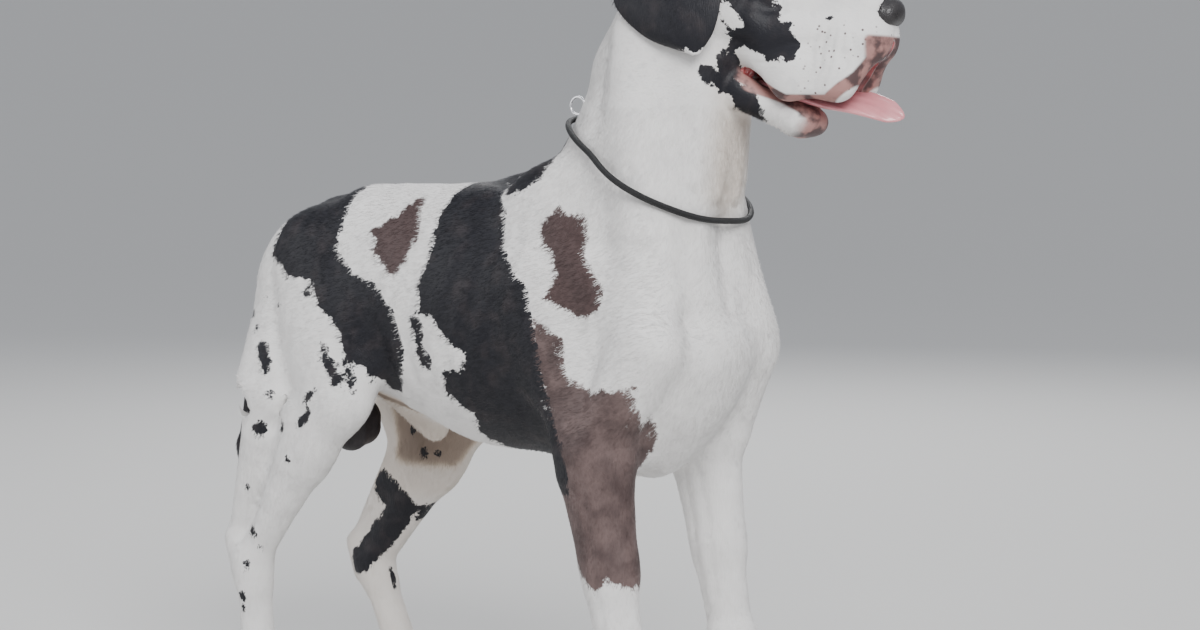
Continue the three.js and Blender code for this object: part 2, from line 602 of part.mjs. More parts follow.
// Ears: a leaf between a front and a rear edge that falls from the side of the skull
const EAR = {
  rear: [[2, 40, -18], [-26, 72, -30], [-24, 92, -62], [30, 104, -106], [104, 103, -128]],
  front: [[92, 46, -10], [118, 80, -14], [134, 95, -52], [130, 101, -96], [113, 103, -126]],
  thick: [9, 3.4], cup: 13,
};

function ear(s) {
  const geometry = new THREE.BoxGeometry(1, 1, 1, 8, 12, 1);
  const at = geometry.attributes.position;
  const edge = (points) => new THREE.CatmullRomCurve3(points.map(([x, y, z]) => V(x, s * y, z)));
  const rear = edge(EAR.rear), front = edge(EAR.front);
  for (let i = 0; i < at.count; i++) {
    const across = at.getX(i) + 0.5, down = at.getY(i) + 0.5, face = at.getZ(i) * 2;
    const a = rear.getPoint(down), b = front.getPoint(down);
    const step = 0.01;
    const runDown = rear.getPoint(Math.min(down + step, 1)).lerp(front.getPoint(Math.min(down + step, 1)), across)
      .sub(rear.getPoint(Math.max(down - step, 0)).lerp(front.getPoint(Math.max(down - step, 0)), across));
    const out = new THREE.Vector3().crossVectors(b.clone().sub(a), runDown).normalize().multiplyScalar(s);
    const rim = 1 - (2 * across - 1) ** 2;
    const half = mix(EAR.thick[0], EAR.thick[1], down) / 2 * (0.45 + 0.55 * rim);
    const bulge = EAR.cup * rim * Math.sin(Math.PI * down * 0.9);
    const p = a.lerp(b, across).addScaledVector(out, bulge + face * half).applyMatrix4(headMatrix);
    at.setXYZ(i, p.x, p.y, p.z);
  }
  return solid(geometry);
}

for (const s of [-1, 1]) add(`ear_${sideName(s)}`, ear(s).subtract(headGrown), COLOURS.dark);

// Lower jaw, and the tongue that hangs out over it
add('head', head, COLOURS.coat);
add('lower_jaw', jawShape(0).subtract(headGrown).subtract(bodyGrown), COLOURS.coat);

const TONGUE = {
  line: [[150, 0, -152], [205, 0, -166], [250, 1, -172], [300, 7, -176], [352, 10, -188]],
  width: [22, 24, 26, 25, 17], thick: [6, 6, 5.5, 5, 3.6], roll: 0.5,
};

function tongue() {
  const geometry = new THREE.SphereGeometry(1, 14, 16);
  const at = geometry.attributes.position;
  const line = new THREE.CatmullRomCurve3(TONGUE.line.map(vec));
  const table = (values, t) => {
    const i = Math.min(Math.floor(t * (values.length - 1)), values.length - 2);
    return mix(values[i], values[i + 1], t * (values.length - 1) - i);
  };
  for (let i = 0; i < at.count; i++) {
    const t = clamp((1 - at.getY(i)) / 2, 0, 1);
    const ring = Math.min(Math.sqrt(Math.max(1 - at.getY(i) ** 2, 0)) * 1.7, 1);
    const turn = Math.atan2(at.getZ(i), at.getX(i));
    const roll = TONGUE.roll * t;
    const across = Math.cos(turn) * ring * table(TONGUE.width, t);
    const up = Math.sin(turn) * ring * table(TONGUE.thick, t) - 2.5 * (1 - (across / 24) ** 2);
    const p = line.getPoint(t);
    p.add(V(0, across * Math.cos(roll) - up * Math.sin(roll), across * Math.sin(roll) + up * Math.cos(roll)));
    p.applyMatrix4(headMatrix);
    at.setXYZ(i, p.x, p.y, p.z);
  }
  return solid(geometry);
}

add('tongue', tongue().subtract(headGrown).subtract(jawGrown), COLOURS.mouth);

// Collar: a cord that lies on the neck, in a plane that drops from the nape to the throat
const COLLAR = { middle: [132, 0, 862], along: [0.87, 0, -0.49], clear: 2.2, steps: 36, spans: 0.4 };
const collarAlong = vec(COLLAR.along).normalize();
const collarTurns = Array.from({ length: COLLAR.steps }, (_, i) => i / COLLAR.steps * 2 * Math.PI);
const collarRay = (turn) => collarAlong.clone().multiplyScalar(Math.cos(turn)).add(V(0, Math.sin(turn), 0));
const neckReach = collarTurns.map((turn) => rayLength(bodyField, vec(COLLAR.middle), collarRay(turn), 260));
const collarPoint = (turn) => {
  const ray = collarRay(turn);
  // The cord spans hollows: it passes each point as far out as the points beside it push it
  const pushes = collarTurns.map((other, i) => {
    const off = Math.abs(Math.atan2(Math.sin(other - turn), Math.cos(other - turn)));
    return off < COLLAR.spans ? neckReach[i] * Math.cos(off) : 0;
  });
  const reach = Math.max(...pushes);
  return vec(COLLAR.middle).addScaledVector(ray, reach + COLLAR_RADIUS + COLLAR.clear);
};
const collarLoop = collarTurns.map(collarPoint);
const collarCurve = new THREE.CatmullRomCurve3(collarLoop, true);
add('collar', solid(new THREE.TubeGeometry(collarCurve, 40, COLLAR_RADIUS, 6, true)), COLOURS.cord);

const ringAt = collarPoint(Math.PI).add(V(-5, 0, 18.2));
add('collar_ring', solid(new THREE.TorusGeometry(12, 1.8, 5, 14).rotateX(Math.PI / 2).rotateY(-1.1)
  .translate(ringAt.x, ringAt.y, ringAt.z)), COLOURS.steel);

const dog = new THREE.Group();
for (const [name, [made, colour]] of parts) {
  const material = new THREE.MeshStandardMaterial({ color: colour, roughness: 0.6, metalness: 0 });
  const mesh = new THREE.Mesh(geometryOf(made), material);
  mesh.name = name;
  mesh.position.set(-BOX_MIDDLE[0], -BOX_MIDDLE[1], 0);
  dog.add(mesh);
}

export default dog;
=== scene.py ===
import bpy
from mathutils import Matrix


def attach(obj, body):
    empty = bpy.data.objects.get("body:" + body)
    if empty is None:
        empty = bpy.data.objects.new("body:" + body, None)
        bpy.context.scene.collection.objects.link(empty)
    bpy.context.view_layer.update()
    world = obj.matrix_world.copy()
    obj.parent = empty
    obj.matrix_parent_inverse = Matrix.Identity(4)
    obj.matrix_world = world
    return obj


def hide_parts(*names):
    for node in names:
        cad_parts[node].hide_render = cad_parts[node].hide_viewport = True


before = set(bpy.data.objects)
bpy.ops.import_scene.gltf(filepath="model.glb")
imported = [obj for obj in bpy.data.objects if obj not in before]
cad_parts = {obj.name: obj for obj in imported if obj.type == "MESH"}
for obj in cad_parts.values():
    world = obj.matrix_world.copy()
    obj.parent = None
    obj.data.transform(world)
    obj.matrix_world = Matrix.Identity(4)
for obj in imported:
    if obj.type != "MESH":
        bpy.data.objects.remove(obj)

"""The finished look of a harlequin Great Dane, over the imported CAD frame.

One skin takes the place of all the nodes of flesh. It starts as one voxel surface over copies of the
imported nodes. It is then drawn onto a field of tapered masses, which is the field that the nodes were
made from but for a slimmer right hind leg, a fuller far side of the chest, and a fuller sheath and
scrotum. The upper lips hang lower than in the nodes, and folds, tendons and ribs lie on top. The coat is
short and flat: mostly bump in the material, with fine tufts over it that follow its lie and break the
outline and the edges of patches.
"""

import logging
import math
from dataclasses import dataclass
from enum import Enum
from typing import Callable

import bmesh
import bpy
import numpy as np
from mathutils import Matrix, Vector

logging.basicConfig(level=logging.INFO, format="%(message)s")
log = logging.getLogger("great_dane")

Point = tuple[float, float, float]
Array = np.ndarray

SEED = 31
MM = 0.001
BODY = "root"
# The field is laid out in millimetres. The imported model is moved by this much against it.
SHIFT = np.array([84.2, 0.0, 0.0])
COAT_DEPTH = 1.5
# The almond between the lids is laid out this far from the middle of the eye.
ALMOND_REACH = 14.0
TRACK = 120.0


class Side(Enum):
    """A side of the dog, by the sign of its y."""

    LEFT = 1
    RIGHT = -1

    @property
    def word(self) -> str:
        """The side's name as the nodes have it."""
        return self.name.lower()


class Region(Enum):
    """A stretch of coat: its share of the tufts, their length and their width in millimetres."""

    HEAD = ("head", 46000, 5.0, 0.55)
    NECK = ("neck", 40000, 9.0, 0.8)
    TRUNK = ("trunk", 62000, 11.0, 0.9)
    FORE = ("forelegs", 40000, 7.0, 0.7)
    HIND = ("hind_legs", 56000, 8.0, 0.75)

    @property
    def word(self) -> str:
        """The region's name."""
        return self.value[0]

    @property
    def tufts(self) -> int:
        """How many tufts the region has."""
        return self.value[1]

    @property
    def length(self) -> float:
        """A tuft's length."""
        return self.value[2]

    @property
    def width(self) -> float:
        """A tuft's width."""
        return self.value[3]


# Flesh


@dataclass(frozen=True)
class Mass:
    """A tapered mass of flesh from a to b, narrowed along side, that flows into what it meets."""

    a: Point
    b: Point
    ra: float
    rb: float
    flat: float = 1.0
    blend: float = 30.0
    side: Point = (0.0, 1.0, 0.0)

    def mirrored(self) -> "Mass":
        """The same mass on the other side of the dog."""
        a, b, side = ((x, -y, z) for x, y, z in (self.a, self.b, self.side))
        return Mass(a, b, self.ra, self.rb, self.flat, self.blend, side)

    def distance(self, p: Array) -> Array:
        """Distance from points to the mass.

        Args:
            p: Points, one a row.
        Returns:
            One distance for each point, negative inside.
        """
        a, b, side = np.array(self.a), np.array(self.b), np.array(self.side)
        d = b - a
        t = np.clip((p - a) @ d / max(float(d @ d), 1e-9), 0, 1)
        q = p - a - t[:, None] * d
        q = q + np.outer((q @ side) * (1 / self.flat - 1), side)
        return np.sqrt((q * q).sum(1)) - (self.ra + (self.rb - self.ra) * t)


def flow(a: Array, b: Array, blend: float) -> Array:
    """The smaller of two distances, with a smooth run from one to the other."""
    h = np.maximum(blend - np.abs(a - b), 0) / blend
    return np.minimum(a, b) - h * h * blend / 4


class Flesh:
    """A field made of masses, which is negative inside the flesh."""

    REACH = 62.0

    def __init__(self, masses: list[Mass]) -> None:
        self.masses = masses
        self.boxes = []
        for m in masses:
            r = max(m.ra, m.rb) * max(1.0, m.flat) + self.REACH
            ends = np.array([m.a, m.b])
            self.boxes.append((ends.min(0) - r, ends.max(0) + r))

    def distance(self, p: Array) -> Array:
        """Distance from points to the flesh, in millimetres.

        Args:
            p: Points, one a row.
        Returns:
            One distance for each point. Far from the flesh it is only a large number.
        """
        out = np.full(len(p), 1e3)
        for m, (lo, hi) in zip(self.masses, self.boxes):
            near = np.flatnonzero(
                (p[:, 0] > lo[0]) & (p[:, 0] < hi[0]) & (p[:, 1] > lo[1]) & (p[:, 1] < hi[1])
                & (p[:, 2] > lo[2]) & (p[:, 2] < hi[2])
            )
            if len(near):
                out[near] = flow(out[near], m.distance(p[near]), m.blend)
        return out


def pair(*args: object, **words: object) -> list[Mass]:
    """A mass and its mirror image."""
    m = Mass(*args, **words)
    return [m, m.mirrored()]


def between(a: Point, b: Point, t: float, shift: Point = (0, 0, 0)) -> Point:
    """The point at t from a to b, moved by shift."""
    return tuple(float(a[i] + (b[i] - a[i]) * t + shift[i]) for i in range(3))


@dataclass(frozen=True)
class ForeJoints:
    """Where one foreleg bends."""

    s: int

    @property
    def elbow(self) -> Point:
        """The elbow."""
        return (142 + self.s * 10, self.s * 118, 470)

    @property
    def carpus(self) -> Point:
        """The wrist."""
        return (194 + self.s * 8, self.s * TRACK, 190)

    @property
    def fetlock(self) -> Point:
        """Above the paw."""
        return (212 + self.s * 6, self.s * (TRACK + 1), 66)


@dataclass(frozen=True)
class HindJoints:
    """Where one hind leg bends."""

    hip: Point
    stifle: Point
    hock: Point
    fetlock: Point
    calf: Point
    s: int


HIND_RIGHT = HindJoints((-404, -80, 690), (-326, -124, 520), (-512, -116, 262), (-500, -114, 62),
                        (-489, -120, 448), -1)
HIND_LEFT = HindJoints((-398, 80, 690), (-282, 122, 484), (-478, 118, 222), (-404, 118, 52),
                       (-412, 120, 396), 1)


class Anatomy:
    """The masses of the dog's body. Most of them are where the solids have them."""

    HEAD_PLACE = (161.0, 7.0, 1135.0)
    HEAD_YAW = math.radians(6)
    HEAD_DROP = math.radians(4)
    JAW_OPEN = math.radians(21)
    JAW_HINGE = (72.0, 0.0, -112.0)
    TOES = ((-35, 30, 58, 14.5), (-13, 42, 76, 16.0), (13, 42, 76, 16.0), (35, 30, 58, 14.5))
    PAW_FLOOR = 0.8

    def __init__(self) -> None:
        turn = Matrix.Rotation(self.HEAD_YAW, 4, "Z") @ Matrix.Rotation(self.HEAD_DROP, 4, "Y")
        self.head_matrix = Matrix.Translation(self.HEAD_PLACE) @ turn
        self.head_turn = np.array(turn.to_3x3())
        self.trunk = [
            Mass((100, 0, 612), (-120, 0, 646), 176, 176, 0.70, 30),
            Mass((-120, 0, 646), (-290, 0, 668), 176, 148, 0.74, 60),
            Mass((-290, 0, 668), (-410, 0, 690), 148, 118, 0.78, 60),
            Mass((-398, 0, 700), (-450, 0, 682), 92, 68, 0.95, 50),
            *pair((-40, 36, 778), (-330, 38, 776), 42, 39, 1, 36),
            *pair((-330, 40, 770), (-440, 42, 706), 42, 38, 1, 40),
            Mass((70, 0, 810), (-60, 0, 804), 48, 42, 0.62, 40),
            *pair((8, 64, 794), (178, 102, 636), 60, 50, 0.56, 34),
            *pair((14, 96, 690), (104, 120, 515), 70, 44, 0.52, 30),
            *pair((212, 110, 624), (134, 118, 485), 52, 44, 0.86, 30),
            *pair((224, 44, 606), (158, 60, 492), 48, 38, 1, 34),
            Mass((232, 0, 622), (152, 0, 474), 38, 34, 1, 40),
        ]
        self.neck = [
            Mass((84, 0, 740), (152, 0, 880), 146, 112, 0.76, 60),
            Mass((152, 0, 880), (186, 0, 985), 112, 100, 0.76, 40),
            Mass((186, 0, 985), (215, 0, 1062), 100, 82, 0.80, 40),
            Mass((52, 0, 880), (94, 0, 992), 30, 28, 0.9, 34),
            Mass((94, 0, 992), (138, 0, 1088), 28, 26, 1, 34),
            *pair((236, 42, 985), (226, 34, 690), 30, 30, 1, 34),
            *pair((165, 58, 1040), (196, 90, 694), 36, 48, 0.8, 36),
        ]
        self.tail_line = [(-470, 0, 738), (-520, 0, 706), (-572, 0, 622), (-616, 0, 516), (-642, 0, 410),
                          (-660, 0, 322)]
        radii = (36, 31, 24, 19, 14, 8)
        self.tail = [Mass(self.tail_line[i], self.tail_line[i + 1], radii[i], radii[i + 1], 1, 18)
                     for i in range(5)]
        self.sheath = [Mass((-330, 0, 534), (-246, 0, 472), 31, 24, 0.85, 22)]
        self.scrotum = [
            Mass((-420, 0, 560), (-414, 0, 492), 24, 27, 1, 18),
            Mass((-404, -14, 466), (-402, -14, 452), 33, 31, 0.9, 12),
            Mass((-406, 14, 470), (-404, 14, 458), 33, 31, 0.9, 12),
        ]
        self.skull = [
            Mass((84, 0, -66), (112, 0, -62), 66, 58, 1.04, 30),
            Mass((30, 0, -26), (110, 0, -28), 24, 30, 1, 26),
            *pair((134, 27, -34), (150, 33, -42), 25, 21, 1, 20),
            *pair((66, 54, -78), (154, 50, -82), 28, 20, 0.8, 22),
            *pair((52, 46, -102), (84, 46, -130), 36, 30, 0.72, 26),
            Mass((110, 0, -78), (190, 0, -88), 52, 44, 0.98, 34),
            Mass((170, 0, -78), (300, 0, -76), 44, 36, 1.0, 26),
            *pair((160, 15, -52), (306, 14, -50), 24, 18, 1, 16),
            *pair((176, 33, -104), (298, 22, -92), 28, 26, 0.9, 20),
            *pair((158, 38, -118), (214, 44, -138), 20, 25, 0.66, 18),
            *pair((214, 44, -138), (276, 36, -134), 25, 27, 0.66, 18),
            *pair((276, 36, -134), (312, 14, -106), 27, 19, 0.8, 16),
            *pair((286, 26, -100), (312, 12, -92), 24, 20, 1, 16),
        ]
        self.far_chest = [
            Mass((200, 58, 780), (224, 86, 650), 44, 50, 0.9, 40),
            Mass((222, 110, 600), (186, 120, 500), 48, 42, 0.9, 30),
        ]
        self.nose = [
            Mass((306, 0, -56), (327, 0, -58), 24, 18, 1.1, 10),
            *pair((314, 15, -62), (327, 13, -64), 15, 12.5, 1, 8),
            Mass((318, 0, -66), (322, 0, -84), 15, 8, 1, 10),
        ]
        self.jaw = [
            *pair((70, 44, -128), (150, 34, -142), 25, 21, 0.8, 20),
            *pair((150, 34, -142), (246, 15, -142), 21, 18, 0.95, 20),
            Mass((242, 0, -142), (256, 0, -140), 22, 17, 1.25, 16),
            Mass((90, 0, -142), (234, 0, -148), 22, 16, 1.6, 20),
        ]

    def from_head(self, p: Point | Array) -> Array:
        """Points of the head's own frame, moved into the body's."""
        return np.asarray(p, float) @ self.head_turn.T + np.array(self.HEAD_PLACE)

    def to_head(self, p: Array) -> Array:
        """Points of the body's frame, seen from the head."""
        return (p - np.array(self.HEAD_PLACE)) @ self.head_turn

    def opened(self, p: Point) -> Point:
        """A point of the closed lower jaw, after the mouth has opened."""
        c, s = math.cos(self.JAW_OPEN), math.sin(self.JAW_OPEN)
        dx, dz = p[0] - self.JAW_HINGE[0], p[2] - self.JAW_HINGE[2]
        return (self.JAW_HINGE[0] + c * dx + s * dz, p[1], self.JAW_HINGE[2] - s * dx + c * dz)

    def in_body(self, m: Mass) -> Mass:
        """A mass of the head's own frame, in the body's frame."""
        side = tuple(self.head_turn @ np.array(m.side))
        ends = tuple(self.from_head(m.a)), tuple(self.from_head(m.b))
        return Mass(*ends, m.ra, m.rb, m.flat, m.blend, side)

    def foreleg(self, j: ForeJoints) -> list[Mass]:
        """The masses of one foreleg down to its fetlock."""
        e, c, f = j.elbow, j.carpus, j.fetlock
        return [
            Mass(e, between(e, c, 0.55), 47, 36, 0.86, 34),
            Mass(between(e, c, 0.5), c, 36, 31, 0.94, 20),
            Mass(between(e, c, 0.05, (20, 0, 0)), between(e, c, 0.5, (8, 0, 0)), 34, 26, 0.9, 24),
            Mass((e[0] - 34, e[1], 520), (e[0] - 30, e[1], 458), 22, 21, 0.9, 26),
            Mass((e[0] - 22, e[1], 440), between(e, c, 0.85, (-16, 0, 0)), 26, 13, 0.9, 22),
            Mass(c, between(c, f, 0.12), 36, 34, 0.98, 18),
            Mass(between(c, f, 0.1, (-26, 0, -4)), between(c, f, 0.2, (-22, 0, 0)), 15, 12, 1, 16),
            Mass(c, f, 30, 32, 1.05, 18),
        ]

    def hindleg(self, j: HindJoints) -> list[Mass]:
        """The masses of one hind leg down to its fetlock."""
        hip, k, h, f, s = j.hip, j.stifle, j.hock, j.fetlock, j.s
        heel = (h[0] - 36, h[1], h[2] + 26)
        return [
            Mass((hip[0] - 6, hip[1] - s * 4, hip[2]), between(hip, k, 0.78), 98, 74, 0.54, 44),
            Mass((hip[0] - 66, hip[1] - s * 12, 668), (j.calf[0] + 8, j.calf[1], j.calf[2] + 70),
                 58, 54, 0.6, 40),
            Mass(between(hip, k, 0.4, (40, 0, 10)), k, 60, 48, 0.6, 40),
            Mass(k, between(k, h, 0.35), 47, 45 + 4 * s, 0.80, 30),
            Mass(between(k, h, 0.15, (-34, 0, -6)), between(k, h, 0.55, (-14, 0, 0)), 44, 30, 0.74, 28),
            Mass(between(k, h, 0.3), h, 37 + 3 * s, 27, 0.86, 26),
            Mass(j.calf, heel, 34, 14, 0.75, 30),
            Mass(heel, (h[0] - 22, h[1], h[2] - 22), 16, 17, 0.95, 20),
            Mass(h, between(h, f, 0.18), 31, 27, 0.9, 20),
            Mass(between(h, f, 0.1), f, 25, 28, 1, 20),
        ]

    def toe(self, fetlock: Point, toe: tuple[float, ...], size: float) -> tuple[Point, Point, Point]:
        """Root, knuckle and tip of one toe."""
        out, knuckle, tip, radius = toe
        x, y = fetlock[0], fetlock[1]
        return (
            (x + 4 * size, y + out * 0.55, 44 * size),
            (x + knuckle * size, y + out * 0.92 * size, 39 * size),
            (x + tip * size, y + out * size, radius * size - self.PAW_FLOOR),
        )

    def paw(self, fetlock: Point, size: float) -> list[Mass]:
        """The masses of one paw."""
        x, y = fetlock[0], fetlock[1]
        masses = [
            Mass(fetlock, (x + 6, y, 48 * size), 30 * size, 30 * size, 1.12, 16),
            Mass((x - 4, y, 20 * size - self.PAW_FLOOR), (x + 22 * size, y, 18 * size - self.PAW_FLOOR),
                 20 * size, 18 * size, 1.5, 12),
        ]
        for toe in self.TOES:
            root, knuckle, tip = self.toe(fetlock, toe, size)
            r = toe[3] * size
            masses += [Mass(root, knuckle, 20 * size, r, 1, 9), Mass(knuckle, tip, r, r, 1, 6)]
        return masses

    def feet(self) -> list[tuple[str, int, Point, float]]:
        """Kind, side, fetlock and size of each foot."""
        return [
            *(("fore", s, ForeJoints(s).fetlock, 1.0) for s in (-1, 1)),
            ("hind", -1, HIND_RIGHT.fetlock, 0.94),
            ("hind", 1, HIND_LEFT.fetlock, 0.94),
        ]

    def whole(self) -> Flesh:
        """All the flesh that the skin covers, apart from the ears and the lower jaw."""
        masses = [*self.trunk, *self.neck, *(self.in_body(m) for m in self.skull)]
        for s in (-1, 1):
            masses += self.foreleg(ForeJoints(s))
        for j in (HIND_RIGHT, HIND_LEFT):
            masses += self.hindleg(j)
        masses += [*self.tail, *self.sheath, *self.scrotum, *self.far_chest]
        for _, _, fetlock, size in self.feet():
            masses += self.paw(fetlock, size)
        return Flesh(masses)

    def jaw_flesh(self) -> Flesh:
        """The lower jaw, opened."""
        opened = [Mass(self.opened(m.a), self.opened(m.b), m.ra, m.rb, m.flat, m.blend) for m in self.jaw]
        return Flesh([self.in_body(m) for m in opened])

    def head_flesh(self) -> Flesh:
        """Neck and skull, on which the eyes are placed."""
        return Flesh([*self.neck, *(self.in_body(m) for m in self.skull)])


@dataclass(frozen=True)
class Eye:
    """One eye's place: its middle and the way it looks, in the field's millimetres."""

    side: Side
    at: Array
    out: Array
    radius: float = 13.0

    @staticmethod
    def placed(anatomy: Anatomy, side: Side) -> "Eye":
        """Finds the skin along the eye's line of sight and sinks the eye under it."""
        start = anatomy.from_head((150, 0, -52))
        out = anatomy.head_turn @ np.array([0.52, side.value * 0.82, 0.2])
        out /= np.linalg.norm(out)
        flesh = anatomy.head_flesh()
        steps = np.arange(5, 150, 0.05)
        d = flesh.distance(start + steps[:, None] * out)
        reach = steps[np.argmax(d > 0)]
        return Eye(side, start + out * (reach - 8.5), out)


# Markings and relief

POLYGONS_RIGHT: dict[str, list[tuple[float, float]]] = {
    "rump": [(-452, 775), (-462, 720), (-433, 712), (-419, 693), (-370, 693), (-346, 657), (-317, 633),
             (-300, 606), (-289, 580), (-266, 569), (-256, 538), (-234, 530), (-212, 554), (-195, 595),
             (-211, 649), (-243, 685), (-298, 706), (-336, 735), (-330, 797), (-334, 880), (-415, 880)],
    "saddle": [(-141, 880), (-141, 829), (-155, 789), (-149, 725), (-164, 696), (-158, 654), (-132, 653),
               (-109, 621), (-73, 600), (-88, 577), (-117, 575), (-125, 538), (-87, 514), (-100, 483),
               (-60, 440), (119, 425), (119, 472), (80, 527), (65, 573), (51, 626), (41, 650), (34, 697),
               (10, 717), (-21, 748), (-38, 802), (-69, 835), (-69, 880)],
    "withers": [(-38, 821), (-74, 841), (-74, 930), (40, 930), (30, 860), (21, 839), (-1, 823)],
}
POLYGONS_LEFT: dict[str, list[tuple[float, float]]] = {
    "rump": [(-415, 880), (-334, 880), (-310, 770), (-345, 700), (-330, 640), (-380, 600), (-430, 640),
             (-470, 660), (-480, 720), (-430, 780)],
    "saddle": [(-141, 880), (-69, 880), (-40, 790), (-60, 720), (-20, 660), (-70, 590), (-60, 520),
               (-150, 490), (-190, 560), (-170, 640), (-215, 700), (-190, 770)],
    "withers": [(-74, 930), (40, 930), (66, 850), (20, 790), (-20, 800), (-50, 780), (-84, 830)],
    "flank": [(-250, 700), (-215, 650), (-225, 590), (-270, 560), (-300, 610), (-290, 670)],
    "forearm": [(110, 700), (170, 680), (190, 600), (160, 540), (175, 480), (120, 450), (80, 520),
                (70, 620)],
}
BROWN_RIGHT: dict[str, list[tuple[float, float]]] = {
    "shoulder": [(60, 806), (40, 769), (68, 742), (75, 712), (62, 687), (81, 675), (113, 657), (142, 667),
                 (153, 695), (116, 737), (116, 773), (106, 791), (78, 796)],
    "island": [(-204, 815), (-235, 787), (-278, 765), (-251, 726), (-214, 701), (-197, 722), (-186, 762)],
    "foreleg": [(36, 660), (60, 646), (88, 631), (97, 590), (112, 572), (151, 565), (216, 576), (212, 534),
                (206, 490), (235, 450), (235, 400), (228, 330), (200, 306), (176, 322), (161, 300),
                (120, 330), (90, 424), (80, 480), (80, 527), (50, 590)],
}
HEAD_PATCHES_RIGHT: list[list[tuple[float, float]]] = [
    [(294, 1032), (276, 1075), (262, 1110), (300, 1128), (330, 1112), (345, 1085), (352, 1047), (372, 1040),
     (386, 1010), (376, 992), (345, 995), (320, 1008), (306, 1012), (299, 990), (296, 962), (278, 955),
     (276, 983), (285, 1008)],
]
HEAD_PATCHES_LEFT: list[list[tuple[float, float]]] = [
    [(270, 1010), (262, 1060), (250, 1110), (300, 1130), (345, 1120), (372, 1080), (350, 1040), (330, 1000)],
]


@dataclass(frozen=True)
class Spot:
    """A round or drawn-out spot of black hair, in the field's millimetres."""

    a: Point
    r: float
    b: Point | None = None


SPOTS: list[Spot] = [
    Spot((-470, -131, 590), 9, (-456, -136, 558)), Spot((-530, -90, 522), 7), Spot((-522, -100, 500), 6),
    Spot((-500, -120, 488), 6), Spot((-470, -140, 468), 11), Spot((-420, -150, 474), 10),
    Spot((-520, -110, 448), 7), Spot((-367, -161, 486), 7, (-350, -161, 498)), Spot((-395, -162, 429), 6),
    Spot((-505, -135, 372), 6), Spot((-500, -142, 322), 7, (-487, -142, 306)), Spot((-474, -138, 288), 6),
    Spot((-497, -144, 257), 6), Spot((-508, -142, 214), 5, (-512, -142, 190)),
    Spot((-312, -151, 576), 7, (-298, -153, 548)), Spot((-283, -145, 566), 6, (-272, -144, 538)),
    Spot((-472, -119, 665), 5), Spot((-511, -106, 634), 7), Spot((-439, -128, 651), 4),
    Spot((-520, -100, 600), 5), Spot((-373, -135, 673), 5), Spot((-445, -140, 520), 6),
    Spot((-165, -132, 640), 10, (-160, -130, 618)), Spot((-158, -129, 594), 11, (-150, -129, 584)),
    Spot((-95, -125, 548), 7), Spot((-330, -150, 598), 6, (-318, -152, 574)),
    Spot((-296, -150, 600), 6, (-286, -150, 560)), Spot((-352, -158, 520), 7, (-336, -158, 534)),
    Spot((-228, -140, 520), 9, (-212, -138, 508)), Spot((-490, -118, 612), 6), Spot((-455, -136, 640), 5),
    Spot((-364, 90, 446), 8), Spot((-335, 80, 415), 8), Spot((-311, 87, 412), 7),
    Spot((-437, 115, 215), 5, (-432, 115, 185)), Spot((-452, 118, 190), 5, (-440, 118, 160)),
    Spot((-436, 100, 352), 25, (-392, 92, 325)), Spot((-392, 92, 325), 24, (-442, 95, 270)),
    Spot((-442, 95, 276), 24, (-482, 98, 228)), Spot((-370, 120, 330), 18, (-420, 118, 290)),
    Spot((-460, 130, 560), 12), Spot((-400, 142, 600), 8), Spot((-500, 122, 520), 7),
    Spot((-380, 150, 500), 9, (-360, 150, 480)), Spot((-430, 145, 450), 6), Spot((-480, 120, 640), 6),
    Spot((150, 150, 420), 8, (160, 150, 400)), Spot((200, 150, 260), 6), Spot((190, 148, 340), 7),
    Spot((-10, 120, 620), 8), Spot((30, 125, 560), 6), Spot((120, 100, 900), 14, (150, 102, 870)),
    Spot((230, -140, 100), 5), Spot((190, 150, 110), 6), Spot((-500, -140, 110), 6),
]
WHITE_SPOTS: list[Spot] = [
    Spot((286, -53, 1066), 9, (306, -46, 1042)), Spot((302, -31, 1003), 6, (304, -23, 988)),
    Spot((281, -51, 1027), 5),
]
HEAD_SPOTS: list[Spot] = [
    Spot((40, -62, -22), 40, (84, -64, -24)), Spot((40, 62, -22), 44, (90, 64, -24)),
    Spot((190, -44, -60), 5), Spot((150, -58, -62), 5), Spot((214, -46, -84), 4.5),
    Spot((262, -40, -70), 3.5),
    Spot((236, 44, -76), 6), Spot((190, 52, -92), 8, (205, 54, -104)), Spot((120, 12, -4), 5),
    Spot((112, -72, -148), 12, (150, -52, -172)), Spot((150, -44, -176), 15, (166, -34, -196)),
    Spot((150, 62, -150), 12, (160, 44, -186)),
    Spot((250, 10, -34), 5), Spot((284, -8, -34), 3.5),
]


@dataclass(frozen=True)
class Stroke:
    """A fold or a ridge of the skin along a line, in the field's millimetres.

    A flat stroke ignores how far out to the side the skin lies. depth is negative for a groove.
    """

    points: tuple[Point, ...]
    radius: float
    depth: float
    flat: bool = False
    sides: tuple[int, ...] = (-1, 1)


